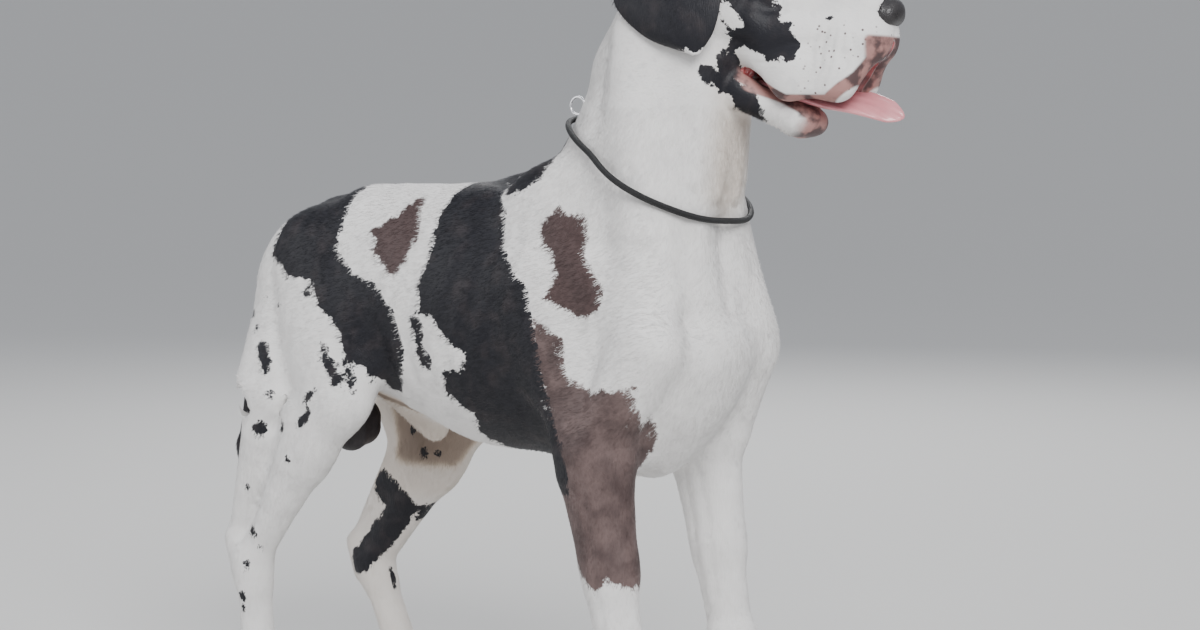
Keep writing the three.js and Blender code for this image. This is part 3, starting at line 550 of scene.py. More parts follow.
STROKES: list[Stroke] = [
    Stroke(((268, 0, 770), (268, 0, 680), (258, 0, 590)), 12, -3.0),
    Stroke(((262, 30, 800), (262, 34, 700), (246, 30, 590), (215, 32, 500)), 12, -1.5),
    Stroke(((258, 66, 700), (240, 80, 620), (206, 84, 540), (176, 84, 480)), 13, -2.6),
    Stroke(((60, 100, 820), (150, 104, 740), (215, 96, 660)), 22, -2.4),
    Stroke(((10, 70, 820), (70, 100, 760), (130, 124, 690)), 14, 2.6),
    Stroke(((40, 130, 660), (80, 136, 580), (110, 140, 520)), 12, -3.2, True),
    Stroke(((140, 140, 660), (150, 142, 600), (136, 142, 540)), 14, -2.6, True),
    Stroke(((-214, 0, 600), (-200, 0, 545), (-236, 0, 515)), 15, 4.5, True),
    Stroke(((-466, 0, 720), (-450, 0, 620), (-430, 0, 540)), 16, -3.6, True),
    Stroke(((-330, 0, 720), (-315, 0, 640), (-300, 0, 570)), 20, -2.6, True),
    Stroke(((225, 58, 970), (218, 74, 880), (205, 92, 790)), 16, -4.0),
    Stroke(((250, 22, 1000), (262, 20, 900), (262, 22, 820)), 8, 4.0),
    Stroke(((240, 50, 1010), (256, 48, 930), (250, 58, 840)), 8, 3.6),
    Stroke(((214, 66, 1010), (236, 64, 950), (238, 66, 880)), 7, 2.6),
    Stroke(((120, 64, 1010), (110, 84, 930), (90, 92, 860)), 18, -2.4),
    Stroke(((165, 0, 450), (182, 0, 360), (192, 0, 260)), 7, -2.0, True),
    Stroke(((140, 0, 440), (158, 0, 340), (172, 0, 240)), 6, -1.8, True),
    Stroke(((-420, -150, 470), (-480, -140, 370), (-520, -130, 296)), 11, -4.5, False, (1,)),
    Stroke(((-360, 150, 420), (-420, 140, 320), (-470, 130, 250)), 11, -4.5, False, (1,)),
    *(
        Stroke(((26 - 40 * i, 0, 760), (4 - 40 * i, 0, 690), (-16 - 40 * i, 0, 620), (-12 - 40 * i, 0, 560)),
               9, 1.5 - 0.08 * i, True)
        for i in range(7)
    ),
]
HEAD_STROKES: list[Stroke] = [
    Stroke(((50, 0, 2), (110, 0, -4), (160, 0, -24)), 8, -2.6),
    Stroke(((168, 54, -118), (214, 52, -108), (262, 44, -96), (306, 28, -76)), 6, -1.8),
    Stroke(((170, 56, -134), (220, 56, -124), (270, 48, -112), (312, 26, -92)), 5, -1.4),
    Stroke(((120, 62, -128), (158, 58, -142), (180, 56, -152)), 6, 2.2),
    Stroke(((334, 0, -84), (332, 0, -98), (328, 0, -112)), 3.2, -3.2),
    Stroke(((150, 56, -64), (176, 50, -66), (196, 42, -62)), 6, -1.8),
    Stroke(((178, 46, -58), (214, 42, -66), (252, 38, -66)), 12, -2.2),
    Stroke(((132, 20, -8), (152, 30, -14), (168, 40, -28)), 7, 1.6),
    Stroke(((96, 66, -96), (130, 60, -104), (160, 56, -112)), 10, -2.2),
    *(
        Stroke(((250 + 12 * i, 0, -84 - 2 * i), (244 + 14 * i, 0, -108), (250 + 12 * i, 0, -132),
                (240 + 12 * i, 0, -156)), 3.4, -1.5, True)
        for i in range(5)
    ),
]


def segment_distance(p: Array, points: tuple[Point, ...], flat: bool = False) -> Array:
    """Distance from points to a line of segments.

    Args:
        p: Points, one a row.
        points: The corners of the line.
        flat: Whether the sideways part of the distance is left out.
    Returns:
        One distance for each point.
    """
    keep = np.array([1.0, 0.0 if flat else 1.0, 1.0])
    out = np.full(len(p), 1e3)
    for a, b in zip(points[:-1], points[1:]):
        a, b = np.array(a, float) * keep, np.array(b, float) * keep
        d, q = b - a, p * keep - a
        t = np.clip(q @ d / max(float(d @ d), 1e-9), 0, 1)
        out = np.minimum(out, np.linalg.norm(q - t[:, None] * d, axis=1))
    return out


def polygon_depth(u: Array, v: Array, corners: list[tuple[float, float]]) -> Array:
    """How far inside a polygon points lie, negative outside."""
    c = np.array(corners, float)
    nearest, inside = np.full(len(u), 1e3), np.zeros(len(u), bool)
    for (ax, ay), (bx, by) in zip(c, np.roll(c, -1, 0)):
        dx, dy = bx - ax, by - ay
        t = np.clip(((u - ax) * dx + (v - ay) * dy) / (dx * dx + dy * dy), 0, 1)
        nearest = np.minimum(nearest, np.hypot(u - ax - dx * t, v - ay - dy * t))
        cross = (ay > v) != (by > v)
        inside ^= cross & (u < (bx - ax) * (v - ay) / (by - ay if by != ay else 1e-9) + ax)
    return np.where(inside, nearest, -nearest)


def smooth(x: Array, low: float, high: float) -> Array:
    """0 below low, 1 above high and a smooth run between; low may be the larger."""
    t = np.clip((x - low) / (high - low), 0, 1)
    return t * t * (3 - 2 * t)


class Markings:
    """Where the coat is black or brown and where bare skin shows, for any point of the skin."""

    NAMES = ("black", "brown", "bare", "dark", "mouth", "beige_and_shade", "whisker", "limb")

    def __init__(self, anatomy: Anatomy, eyes: list[Eye]) -> None:
        self.anatomy = anatomy
        self.eyes = eyes
        self.scrotum = Flesh(anatomy.scrotum[1:])
        self.sheath = Flesh(anatomy.sheath)

    def at(self, p: Array) -> dict[str, Array]:
        """The markings at points in the field's millimetres.

        Args:
            p: Points, one a row.
        Returns:
            One array for each name. black and brown are depths in millimetres, the others run from 0 to 1.
        """
        h = self.anatomy.to_head(p)
        x, y, z = p.T
        head = smooth(h[:, 0], -30, 10) * smooth(z, 900, 940)
        black, brown = np.full(len(p), -60.0), np.full(len(p), -60.0)
        for side, table in ((-1, POLYGONS_RIGHT), (1, POLYGONS_LEFT)):
            for corners in table.values():
                depth = np.minimum(polygon_depth(x, z, corners), side * y + 15)
                black = np.maximum(black, depth)
        black = np.where((x < -200) & (z < 560) & (np.abs(y) < 60) & (x > -330), black - 30, black)
        for corners in BROWN_RIGHT.values():
            outside = -y - np.where(x > 100, 76, 0)
            brown = np.maximum(brown, np.minimum(polygon_depth(x, z, corners), outside))
        brown = np.maximum(brown, -60)
        for side, patches in ((-1, HEAD_PATCHES_RIGHT), (1, HEAD_PATCHES_LEFT)):
            for corners in patches:
                depth = np.minimum(polygon_depth(x, z, corners), side * h[:, 1] - 22)
                black = np.maximum(black, depth)
        for s in WHITE_SPOTS:
            black = np.minimum(black, segment_distance(p, (s.a, s.b or s.a)) - s.r)
        for spots, q in ((SPOTS, p), (HEAD_SPOTS, h)):
            for s in spots:
                black = np.maximum(black, s.r - segment_distance(q, (s.a, s.b or s.a)))
        tail = smooth(segment_distance(p, tuple(self.anatomy.tail_line[2:])), 60, 40)
        black = np.maximum(black, np.where(z < 560, 20.0, -20.0) * tail - 60 * (1 - tail))
        dark = smooth(self.scrotum.distance(p), 7, 1)
        bare = np.zeros(len(p))
        lips, mouth = self._lips(h)
        bare = np.maximum(bare, lips)
        for eye in self.eyes:
            d = np.linalg.norm(p - eye.at, axis=1)
            dark = np.maximum(dark, smooth(d, 17.0, 14.6))
        beige_and_shade = smooth(segment_distance(p, ((262, 0, 985), (268, 0, 900), (262, 0, 840))), 70, 20) * 0.8
        beige_and_shade = np.maximum(beige_and_shade, smooth(self.sheath.distance(p), 9, 1) * smooth(x, -350, -320))
        # Partly beige skin, partly painted shade: the far hind leg is tinted beige for the shade that it
        # stands in.
        beige_and_shade = np.maximum(beige_and_shade, 0.8 * smooth(z, 300, 360) * smooth(x, -200, -260) * smooth(y, 30, 60)
                           * smooth(z, 600, 500))
        beige_and_shade = np.maximum(beige_and_shade, 0.5 * smooth(z, 470, 380) * smooth(x, -200, -260) * smooth(y, 30, 60))
        # Painted shade between the hind legs, over their beige skin: the mask goes up to 2 here, and the
        # coat turns it into a dark tan.
        inner = smooth(x, -425, -390) * smooth(x, -225, -262) * smooth(z, 372, 410) * smooth(z, 570, 540)
        beige_and_shade = np.maximum(beige_and_shade, 2 * inner * smooth(y, -70, -40) * smooth(y, 128, 100)
                           * smooth(self.sheath.distance(p), 3, 9))
        row = (np.abs(h[:, 1]) > 12) & (h[:, 0] > 225) & (h[:, 2] < -74)
        whisker = np.where(row, smooth(h[:, 0], 225, 250) * smooth(h[:, 2], -72, -84), 0.0)
        limb = smooth(z, 520, 450) + smooth(x, 20, 70) * smooth(z, 720, 800)
        limb = np.clip(limb * (1 - head), 0, 1)
        made = (black, brown, bare, dark, mouth, beige_and_shade, whisker * (1 - mouth), limb)
        return dict(zip(self.NAMES, made))

    def _lips(self, h: Array) -> tuple[Array, Array]:
        """Bare lips and the wet inside of the mouth, from points in the head's frame."""
        edge = ((150, -160), (214, -177), (270, -174), (306, -143), (322, -116))
        upper = tuple((x, 0, z) for x, z in edge)
        flat = segment_distance(h, upper, True)
        lips = smooth(flat, 11, 3) * smooth(h[:, 0], 140, 165)
        front = smooth(h[:, 0], 306, 318) * smooth(h[:, 2], -84, -94) * smooth(h[:, 2], -140, -124)
        lips = np.maximum(lips, 0.85 * front)
        a = self.anatomy
        rim = [a.opened(p) for p in ((120, 0, -118), (180, 0, -121), (240, 0, -123), (264, 0, -128))]
        lower = smooth(segment_distance(h, tuple(rim), True), 12, 5)
        lips = np.maximum(lips, lower * smooth(h[:, 0], 130, 150))
        chin = (a.opened((176, 0, -140)), a.opened((262, 0, -142)))
        lips = np.maximum(lips, 0.72 * smooth(segment_distance(h, chin), 42, 24))
        roof = np.interp(h[:, 0], (60, 120, 180, 250, 310), (-118, -116, -114, -108, -100))
        floor = np.interp(h[:, 0], (60, 120, 180, 240, 262), (-126, -134, -150, -168, -176))
        width = np.interp(h[:, 0], (60, 140, 200, 260, 300, 320), (20, 38, 37, 30, 16, 4))
        inside = smooth(np.abs(h[:, 1]) - width, 2, -3)
        mouth = inside * smooth(h[:, 2] - roof, 8, 2) * smooth(h[:, 2] - floor, -14, -4)
        return lips * (1 - mouth), mouth * smooth(h[:, 0], 60, 100)

    def lie(self, p: Array) -> Array:
        """The way that the hair lies, one direction for each point, not yet laid on the skin."""
        h = self.anatomy.to_head(p)
        x, _, z = p.T
        head = (smooth(h[:, 0], -20, 30) * smooth(z, 930, 960))[:, None]
        neck = (smooth(x, -10, 70) * smooth(z, 720, 830))[:, None] * (1 - head)
        leg = smooth(z, 540, 440)[:, None] * (1 - head)
        tail = smooth(segment_distance(p, tuple(self.anatomy.tail_line)), 70, 40)[:, None]
        rest = np.clip(1 - head - neck - leg - tail, 0, 1)
        out = head * (self.anatomy.head_turn @ np.array([-1.0, 0, -0.3]))
        out = out + neck * np.array([-0.5, 0, -0.85]) + leg * np.array([-0.25, 0, -1.0])
        out = out + tail * np.array([-0.35, 0, -0.93]) + rest * np.array([-1.0, 0, -0.42])
        return out


# Meshes


def lofted(rings: Array, closed: bool = False, values: dict[str, Array] | None = None) -> bpy.types.Mesh:
    """A closed shape drawn from ring to ring, in the field's millimetres.

    Args:
        rings: Points of each ring, as an array of rings, points and x, y, z.
        closed: Whether the last ring joins up with the first. If not, both ends are filled.
        values: Numbers to store on the mesh, by name, one for each point of each ring.
    Returns:
        The mesh, with its faces turned outwards.
    """
    bm = bmesh.new()
    layers = {name: bm.verts.layers.float.new(name) for name in values or {}}
    count = rings.shape[1]
    verts = bmesh.ops.create_circle(bm, segments=count, radius=MM)["verts"]
    bm.edges.ensure_lookup_table()
    edges = list(bm.edges)
    first = list(edges)
    for i, ring in enumerate(rings):
        if i:
            grown = bmesh.ops.extrude_edge_only(bm, edges=edges)["geom"]
            fresh = {g for g in grown if isinstance(g, bmesh.types.BMVert)}
            edges = [g for g in grown if isinstance(g, bmesh.types.BMEdge) and set(g.verts) <= fresh]
            verts = [next(e.other_vert(v) for e in v.link_edges if e.other_vert(v) in fresh) for v in verts]
        for j, v in enumerate(verts):
            v.co = Vector((ring[j] + SHIFT) * MM)
            for name, layer in layers.items():
                v[layer] = values[name][i, j]
    if closed:
        bmesh.ops.bridge_loops(bm, edges=first + edges)
    else:
        bmesh.ops.holes_fill(bm, edges=first + edges, sides=0)
    bmesh.ops.recalc_face_normals(bm, faces=bm.faces)
    mesh = bpy.data.meshes.new("lofted")
    bm.to_mesh(mesh)
    bm.free()
    return mesh


def placed(name: str, mesh: bpy.types.Mesh) -> bpy.types.Object:
    """An object for a mesh, shaded smooth and linked to the scene."""
    mesh.name = name
    mesh.polygons.foreach_set("use_smooth", np.ones(len(mesh.polygons), bool))
    made = bpy.data.objects.new(name, mesh)
    bpy.context.scene.collection.objects.link(made)
    return made


def circle(count: int) -> tuple[Array, Array]:
    """Cosines and sines of even steps round a circle."""
    turn = np.arange(count) / count * 2 * math.pi
    return np.cos(turn), np.sin(turn)


def read_points(mesh: bpy.types.Mesh) -> Array:
    """A mesh's points in the field's millimetres."""
    out = np.empty(len(mesh.vertices) * 3, np.float32)
    mesh.vertices.foreach_get("co", out)
    return out.reshape(-1, 3).astype(float) / MM - SHIFT


def write_points(mesh: bpy.types.Mesh, points: Array) -> None:
    """Moves a mesh's points to places in the field's millimetres."""
    mesh.vertices.foreach_set("co", ((points + SHIFT) * MM).astype(np.float32).ravel())
    mesh.update()


def read_normals(mesh: bpy.types.Mesh) -> Array:
    """The normal at each point of a mesh."""
    out = np.empty(len(mesh.vertices) * 3, np.float32)
    mesh.vertex_normals.foreach_get("vector", out)
    return out.reshape(-1, 3).astype(float)


def write_value(mesh: bpy.types.Mesh, name: str, values: Array) -> None:
    """Stores one number for each point of a mesh under a name."""
    layer = mesh.attributes.new(name, "FLOAT", "POINT")
    layer.data.foreach_set("value", np.asarray(values, np.float32))


def curve_at(points: list[Point], t: Array) -> Array:
    """Points at t from 0 to 1 of a smooth line through corners, drawn as the solids' lines are."""
    c = np.asarray(points, float)
    c = np.vstack([2 * c[0] - c[1], c, 2 * c[-1] - c[-2]])
    span = len(points) - 1
    u = np.clip(t, 0, 1) * span
    i = np.minimum(u.astype(int), span - 1)
    w = (u - i)[:, None]
    p = [c[i + k] for k in range(4)]
    d0, d1, d2 = (np.linalg.norm(p[k + 1] - p[k], axis=1)[:, None] ** 0.5 + 1e-6 for k in range(3))
    m1 = ((p[1] - p[0]) / d0 - (p[2] - p[0]) / (d0 + d1) + (p[2] - p[1]) / d1) * d1
    m2 = ((p[2] - p[1]) / d1 - (p[3] - p[1]) / (d1 + d2) + (p[3] - p[2]) / d2) * d1
    cubic = 2 * p[1] - 2 * p[2] + m1 + m2
    square = -3 * p[1] + 3 * p[2] - 2 * m1 - m2
    return cubic * w ** 3 + square * w ** 2 + m1 * w + p[1]


def unit(v: Array) -> Array:
    """Vectors of length one, one a row."""
    return v / np.maximum(np.linalg.norm(v, axis=-1, keepdims=True), 1e-9)


def tube(line: Array, radius: float, sides: int, closed: bool = True) -> Array:
    """Rings of a round cord along a line that goes round a middle."""
    ahead = np.roll(line, -1, 0) - np.roll(line, 1, 0)
    if not closed:
        ahead[0] = line[1] - line[0]
        ahead[-1] = line[-1] - line[-2]
    ahead = unit(ahead)
    across = unit(np.cross(ahead, unit(line - line.mean(0))))
    up = np.cross(across, ahead)
    cos, sin = circle(sides)
    ring = cos[None, :, None] * up[:, None] + sin[None, :, None] * across[:, None]
    return line[:, None] + ring * radius


def keep_largest(mesh: bpy.types.Mesh) -> None:
    """Takes away all but the largest connected part of a mesh."""
    count = len(mesh.vertices)
    edges = np.empty(len(mesh.edges) * 2, np.int32)
    mesh.edges.foreach_get("vertices", edges)
    a, b = edges.reshape(-1, 2).T
    label = np.arange(count)
    while True:
        low = np.minimum(label[a], label[b])
        new = label.copy()
        np.minimum.at(new, a, low)
        np.minimum.at(new, b, low)
        new = new[new]
        if (new == label).all():
            break
        label = new
    names, sizes = np.unique(label, return_counts=True)
    if len(names) < 2:
        return
    lost = np.flatnonzero(label != names[np.argmax(sizes)])
    bm = bmesh.new()
    bm.from_mesh(mesh)
    bm.verts.ensure_lookup_table()
    bmesh.ops.delete(bm, geom=[bm.verts[i] for i in lost], context="VERTS")
    bm.to_mesh(mesh)
    bm.free()


def refine(mesh: bpy.types.Mesh, near: Array) -> None:
    """Cuts the edges whose two ends are marked in half."""
    bm = bmesh.new()
    bm.from_mesh(mesh)
    bm.verts.ensure_lookup_table()
    edges = [e for e in bm.edges if near[e.verts[0].index] and near[e.verts[1].index]]
    bmesh.ops.subdivide_edges(bm, edges=edges, cuts=1, use_grid_fill=True)
    bm.to_mesh(mesh)
    bm.free()


def remeshed(name: str, sources: list[bpy.types.Object], voxel: float, balls: list[tuple[Array, float]],
             grow: float) -> bpy.types.Mesh:
    """One voxel surface over copies of some objects and some balls.

    Args:
        name: The mesh's name.
        sources: Objects in the model's frame.
        voxel: Size of a voxel in millimetres.
        balls: Middles and radii of balls that are joined in.
        grow: How far the copies are made larger first, so that narrow gaps close.
    Returns:
        The new mesh.
    """
    bm = bmesh.new()
    for source in sources:
        part = bmesh.new()
        part.from_mesh(source.data)
        bmesh.ops.remove_doubles(part, verts=part.verts, dist=1e-6)
        part.normal_update()
        for v in part.verts:
            v.co += v.normal * grow * MM
        scratch = bpy.data.meshes.new("scratch")
        part.to_mesh(scratch)
        part.free()
        bm.from_mesh(scratch)
        bpy.data.meshes.remove(scratch)
    for at, radius in balls:
        place = Matrix.Translation(Vector((at + SHIFT) * MM))
        bmesh.ops.create_icosphere(bm, subdivisions=4, radius=radius * MM, matrix=place)
    rough = bpy.data.meshes.new(name + "_rough")
    bm.to_mesh(rough)
    bm.free()
    holder = bpy.data.objects.new(name + "_rough", rough)
    bpy.context.scene.collection.objects.link(holder)
    change = holder.modifiers.new("voxels", "REMESH")
    change.mode = "VOXEL"
    change.voxel_size = voxel * MM
    made = bpy.data.meshes.new_from_object(holder.evaluated_get(bpy.context.evaluated_depsgraph_get()))
    bpy.data.objects.remove(holder)
    bpy.data.meshes.remove(rough)
    keep_largest(made)
    return made


# Shading


class Graph:
    """Adds nodes to a tree and joins them up."""

    def __init__(self, tree: bpy.types.NodeTree) -> None:
        self.tree = tree

    def add(self, kind: str, inputs: dict | None = None, **settings: object) -> bpy.types.Node:
        """A new node.

        Args:
            kind: The node's type.
            inputs: Sockets or numbers for its inputs, by name or number.
            settings: Its other properties.
        Returns:
            The node.
        """
        node = self.tree.nodes.new(kind)
        for key, value in settings.items():
            setattr(node, key, value)
        for key, value in (inputs or {}).items():
            if isinstance(value, bpy.types.NodeSocket):
                self.tree.links.new(value, node.inputs[key])
            else:
                node.inputs[key].default_value = value
        return node

    def math(self, operation: str, a: object, b: object = 0.0, clamp: bool = False) -> bpy.types.NodeSocket:
        """The outcome of a sum on two values."""
        node = self.add("ShaderNodeMath", {0: a, 1: b}, operation=operation, use_clamp=clamp)
        return node.outputs[0]

    def band(self, value: object, low: float, high: float, top: float = 1.0) -> bpy.types.NodeSocket:
        """0 below low, top above high and a smooth run between."""
        node = self.add("ShaderNodeMapRange", {0: value, 1: low, 2: high, 3: 0.0, 4: top},
                        interpolation_type="SMOOTHSTEP")
        return node.outputs[0]

    def mix(self, mask: object, a: object, b: object) -> bpy.types.NodeSocket:
        """Colour a where the mask is 0 and colour b where it is 1."""
        node = self.add("ShaderNodeMix", {0: mask, 6: a, 7: b}, data_type="RGBA")
        return node.outputs[2]

    def blend(self, mask: object, a: object, b: object) -> bpy.types.NodeSocket:
        """Value a where the mask is 0 and value b where it is 1."""
        return self.add("ShaderNodeMix", {0: mask, 2: a, 3: b}, data_type="FLOAT").outputs[0]

    def value(self, name: str) -> bpy.types.NodeSocket:
        """A number stored on the mesh."""
        return self.add("ShaderNodeAttribute", attribute_name=name).outputs["Fac"]

    def place(self, scale: Point = (1, 1, 1)) -> bpy.types.NodeSocket:
        """The place on the object, drawn out by a scale."""
        at = self.add("ShaderNodeTexCoord").outputs["Object"]
        return self.add("ShaderNodeVectorMath", {0: at, 1: scale}, operation="MULTIPLY").outputs[0]

    def noise(self, vector: object, scale: float, detail: float = 2.0) -> bpy.types.NodeSocket:
        """Noise from 0 to 1."""
        node = self.add("ShaderNodeTexNoise", {"Vector": vector, "Scale": scale, "Detail": detail})
        return node.outputs[0]

    def dots(self, vector: object, scale: float) -> bpy.types.NodeSocket:
        """Distance from scattered points, in their own spacing."""
        node = self.add("ShaderNodeTexVoronoi", {"Vector": vector, "Scale": scale})
        return node.outputs["Distance"]


def shared_group(name: str, sockets: dict[str, str], build: Callable) -> bpy.types.NodeTree:
    """A node group, made once.

    Args:
        name: The group's name.
        sockets: Type of each output, by name.
        build: Adds the nodes to a graph and returns the socket for each output.
    Returns:
        The group.
    """
    if name in bpy.data.node_groups:
        return bpy.data.node_groups[name]
    tree = bpy.data.node_groups.new(name, "ShaderNodeTree")
    for key, kind in sockets.items():
        tree.interface.new_socket(name=key, in_out="OUTPUT", socket_type=kind)
    made = build(Graph(tree))
    out = tree.nodes.new("NodeGroupOutput")
    for key, socket in made.items():
        tree.links.new(socket, out.inputs[key])
    return tree


WHITE = (0.80, 0.785, 0.77, 1)
WHITE_SHADE = (0.68, 0.665, 0.655, 1)
GREY_SKIN = (0.50, 0.49, 0.50, 1)
BEIGE = (0.60, 0.50, 0.40, 1)
# Painted shade: the dark tan that the coat puts between the hind legs.
TAN_IN_SHADE = (0.20, 0.145, 0.115, 1)
BROWN = (0.145, 0.100, 0.094, 1)
BROWN_DARK = (0.070, 0.046, 0.044, 1)
BROWN_DEEP = (0.058, 0.034, 0.033, 1)
BLACK = (0.008, 0.008, 0.012, 1)
BLACK_WORN = (0.022, 0.018, 0.021, 1)
LIP = (0.36, 0.19, 0.17, 1)
LIP_DARK = (0.085, 0.050, 0.050, 1)
BARE_DARK = (0.020, 0.016, 0.018, 1)
GUM = (0.46, 0.10, 0.10, 1)
GUM_DARK = (0.085, 0.018, 0.024, 1)


def coat_pattern(g: Graph) -> dict[str, bpy.types.NodeSocket]:
    """Colour, roughness, wetness and fur relief of the coat, from the markings that the mesh stores."""
    at = g.place()
    coarse, fine = g.noise(at, 70, 3), g.noise(at, 330, 2)
    rag = g.math("ADD", g.math("MULTIPLY", g.math("SUBTRACT", coarse, 0.5), 22),
                 g.math("MULTIPLY", g.math("SUBTRACT", fine, 0.5), 9))
    black = g.band(g.math("ADD", g.value("black"), rag), -0.9, 0.9)
    brown = g.band(g.math("ADD", g.value("brown"), g.math("MULTIPLY", rag, 1.1)), -2.5, 2.5)
    bare, dark, mouth = g.value("bare"), g.value("dark"), g.value("mouth")
    patch = g.noise(at, 26, 2)
    colour = g.mix(g.band(patch, 0.35, 0.75, 0.5), WHITE, WHITE_SHADE)
    colour = g.mix(g.band(g.noise(at, 48, 1), 0.66, 0.72, 0.16), colour, GREY_SKIN)
    # The beige mask puts beige down the front of the neck and on the sheath. On the far hind leg it is
    # partly painted shade, and above 1 it paints the dark tan shade between the hind legs.
    beige_and_shade = g.value("beige_and_shade")
    colour = g.mix(g.math("MULTIPLY", beige_and_shade, 0.7, True), colour, BEIGE)
    colour = g.mix(g.band(beige_and_shade, 1.0, 2.0, 0.8), colour, TAN_IN_SHADE)
    hairs = g.band(g.dots(at, 120), 0.24, 0.12)
    colour = g.mix(g.math("MULTIPLY", hairs, g.value("whisker")), colour, LIP_DARK)
    muddy = g.mix(g.band(g.noise(at, 24, 4), 0.32, 0.68), BROWN_DARK, BROWN)
    height = g.add("ShaderNodeSeparateXYZ", {0: at}).outputs[2]
    muddy = g.mix(g.band(height, 0.60, 0.70, 0.85), muddy, BROWN_DEEP)
    colour = g.mix(brown, colour, muddy)
    worn = g.mix(g.band(g.noise(at, 34, 3), 0.45, 0.75), BLACK, BLACK_WORN)
    colour = g.mix(black, colour, worn)
    lip = g.mix(g.band(g.noise(at, 44, 3), 0.42, 0.60), LIP, LIP_DARK)
    colour = g.mix(g.band(bare, 0.2, 0.75), colour, lip)
    colour = g.mix(g.band(dark, 0.25, 0.7), colour, BARE_DARK)
    gum = g.mix(g.band(g.noise(at, 36, 2), 0.40, 0.62), GUM, GUM_DARK)
    colour = g.mix(g.band(mouth, 0.25, 0.6), colour, gum)
    hidden = g.math("MAXIMUM", bare, g.math("MAXIMUM", dark, mouth), True)
    rough = g.blend(g.math("MAXIMUM", black, brown), 0.66, 0.52)
    rough = g.blend(hidden, rough, 0.46)
    rough = g.blend(mouth, rough, 0.24)
    wet = g.math("MULTIPLY", mouth, 0.8, True)
    body = g.noise(g.place((70, 620, 330)), 1.0, 3)
    limb = g.noise(g.place((620, 620, 85)), 1.0, 3)
    fur = g.blend(g.value("limb"), body, limb)
    pores = g.noise(at, 900, 2)
    relief = g.blend(hidden, fur, g.math("MULTIPLY", pores, 0.4))
    soft = g.math("MULTIPLY", g.math("SUBTRACT", 1.0, mouth), g.noise(at, 110, 2))
    relief = g.math("ADD", relief, g.math("MULTIPLY", soft, 0.5))
    return {"Colour": colour, "Roughness": rough, "Wet": wet, "Relief": relief}


def eye_pattern(g: Graph) -> dict[str, bpy.types.NodeSocket]:
    """Pupil, iris and white of an eye by the angle from the way that it looks."""
    angle = g.value("angle")
    streak = g.noise(g.place(), 900, 2)
    iris = g.mix(streak, (0.020, 0.009, 0.004, 1), (0.105, 0.045, 0.016, 1))
    iris = g.mix(g.band(angle, 0.50, 0.66), iris, (0.010, 0.005, 0.004, 1))
    colour = g.mix(g.band(angle, 0.25, 0.29), (0.002, 0.002, 0.002, 1), iris)
    veins = g.band(g.noise(g.place(), 260, 3), 0.45, 0.7, 0.6)
    white = g.mix(veins, (0.50, 0.44, 0.40, 1), (0.30, 0.10, 0.08, 1))
    return {"Colour": g.mix(g.band(angle, 0.66, 0.76), colour, white)}


def nose_pattern(g: Graph) -> dict[str, bpy.types.NodeSocket]:
    """The pebbled skin of the nose."""
    cell = g.dots(g.place(), 620)
    tone = g.mix(g.band(cell, 0.15, 0.6), (0.008, 0.007, 0.008, 1), (0.020, 0.017, 0.018, 1))
    return {"Colour": tone, "Relief": g.band(cell, 0.75, 0.1)}


def tongue_pattern(g: Graph) -> dict[str, bpy.types.NodeSocket]:
    """Small buds over a pink that varies at random."""
    at = g.place()
    tone = g.mix(g.noise(at, 55, 3), (0.74, 0.32, 0.34, 1), (0.60, 0.20, 0.23, 1))
    return {"Colour": tone, "Relief": g.noise(at, 1100, 2)}


def cord_pattern(g: Graph) -> dict[str, bpy.types.NodeSocket]:
    """Strands laid round a cord."""
    along, around = g.value("along"), g.value("around")
    one = g.math("SINE", g.math("ADD", g.math("MULTIPLY", along, 1.9), g.math("MULTIPLY", around, 2.0)))
    two = g.math("SINE", g.math("SUBTRACT", g.math("MULTIPLY", along, 1.9), g.math("MULTIPLY", around, 2.0)))
    weave = g.math("MAXIMUM", one, two)
    return {"Relief": g.math("ADD", weave, g.math("MULTIPLY", g.noise(g.place(), 2200, 2), 0.4))}


@dataclass(frozen=True)
class Finish:
    """A surface: a slot name, and the numbers and the pattern that it is made of."""

    slot: str
    colour: tuple[float, float, float, float] = (0.5, 0.5, 0.5, 1)
    roughness: float = 0.5
    metallic: float = 0.0
    coat: float = 0.0
    bump: float = 0.0
    depth: float = 0.001
    shine: float = 0.5
    pattern: Callable | None = None

    def material(self, name: str) -> bpy.types.Material:
        """The surface as a material.

        Args:
            name: The material's name.
        Returns:
            The material.
        """
        made = bpy.data.materials.new(name)
        made.use_nodes = True
        tree = made.node_tree
        tree.nodes.clear()
        g = Graph(tree)
        surface = g.add("ShaderNodeBsdfPrincipled", {
            "Base Color": self.colour, "Roughness": self.roughness, "Metallic": self.metallic,
            "Coat Weight": self.coat, "Coat Roughness": 0.08, "Specular IOR Level": self.shine,
        })
        if self.pattern:
            kinds = {"Colour": "NodeSocketColor", "Roughness": "NodeSocketFloat", "Wet": "NodeSocketFloat",
                     "Relief": "NodeSocketFloat"}
            inputs = {"Colour": "Base Color", "Roughness": "Roughness", "Wet": "Coat Weight"}
            names = PATTERN_OUTPUTS[self.pattern]
            group = shared_group(self.pattern.__name__, {k: kinds[k] for k in names}, self.pattern)
            node = g.add("ShaderNodeGroup", node_tree=group)
            for key in names:
                if key in inputs:
                    tree.links.new(node.outputs[key], surface.inputs[inputs[key]])
            if "Relief" in names and self.bump:
                bump = g.add("ShaderNodeBump", {"Strength": self.bump, "Distance": self.depth,
                                                "Height": node.outputs["Relief"]})
                tree.links.new(bump.outputs[0], surface.inputs["Normal"])
        out = g.add("ShaderNodeOutputMaterial")
        tree.links.new(surface.outputs[0], out.inputs[0])
        return made


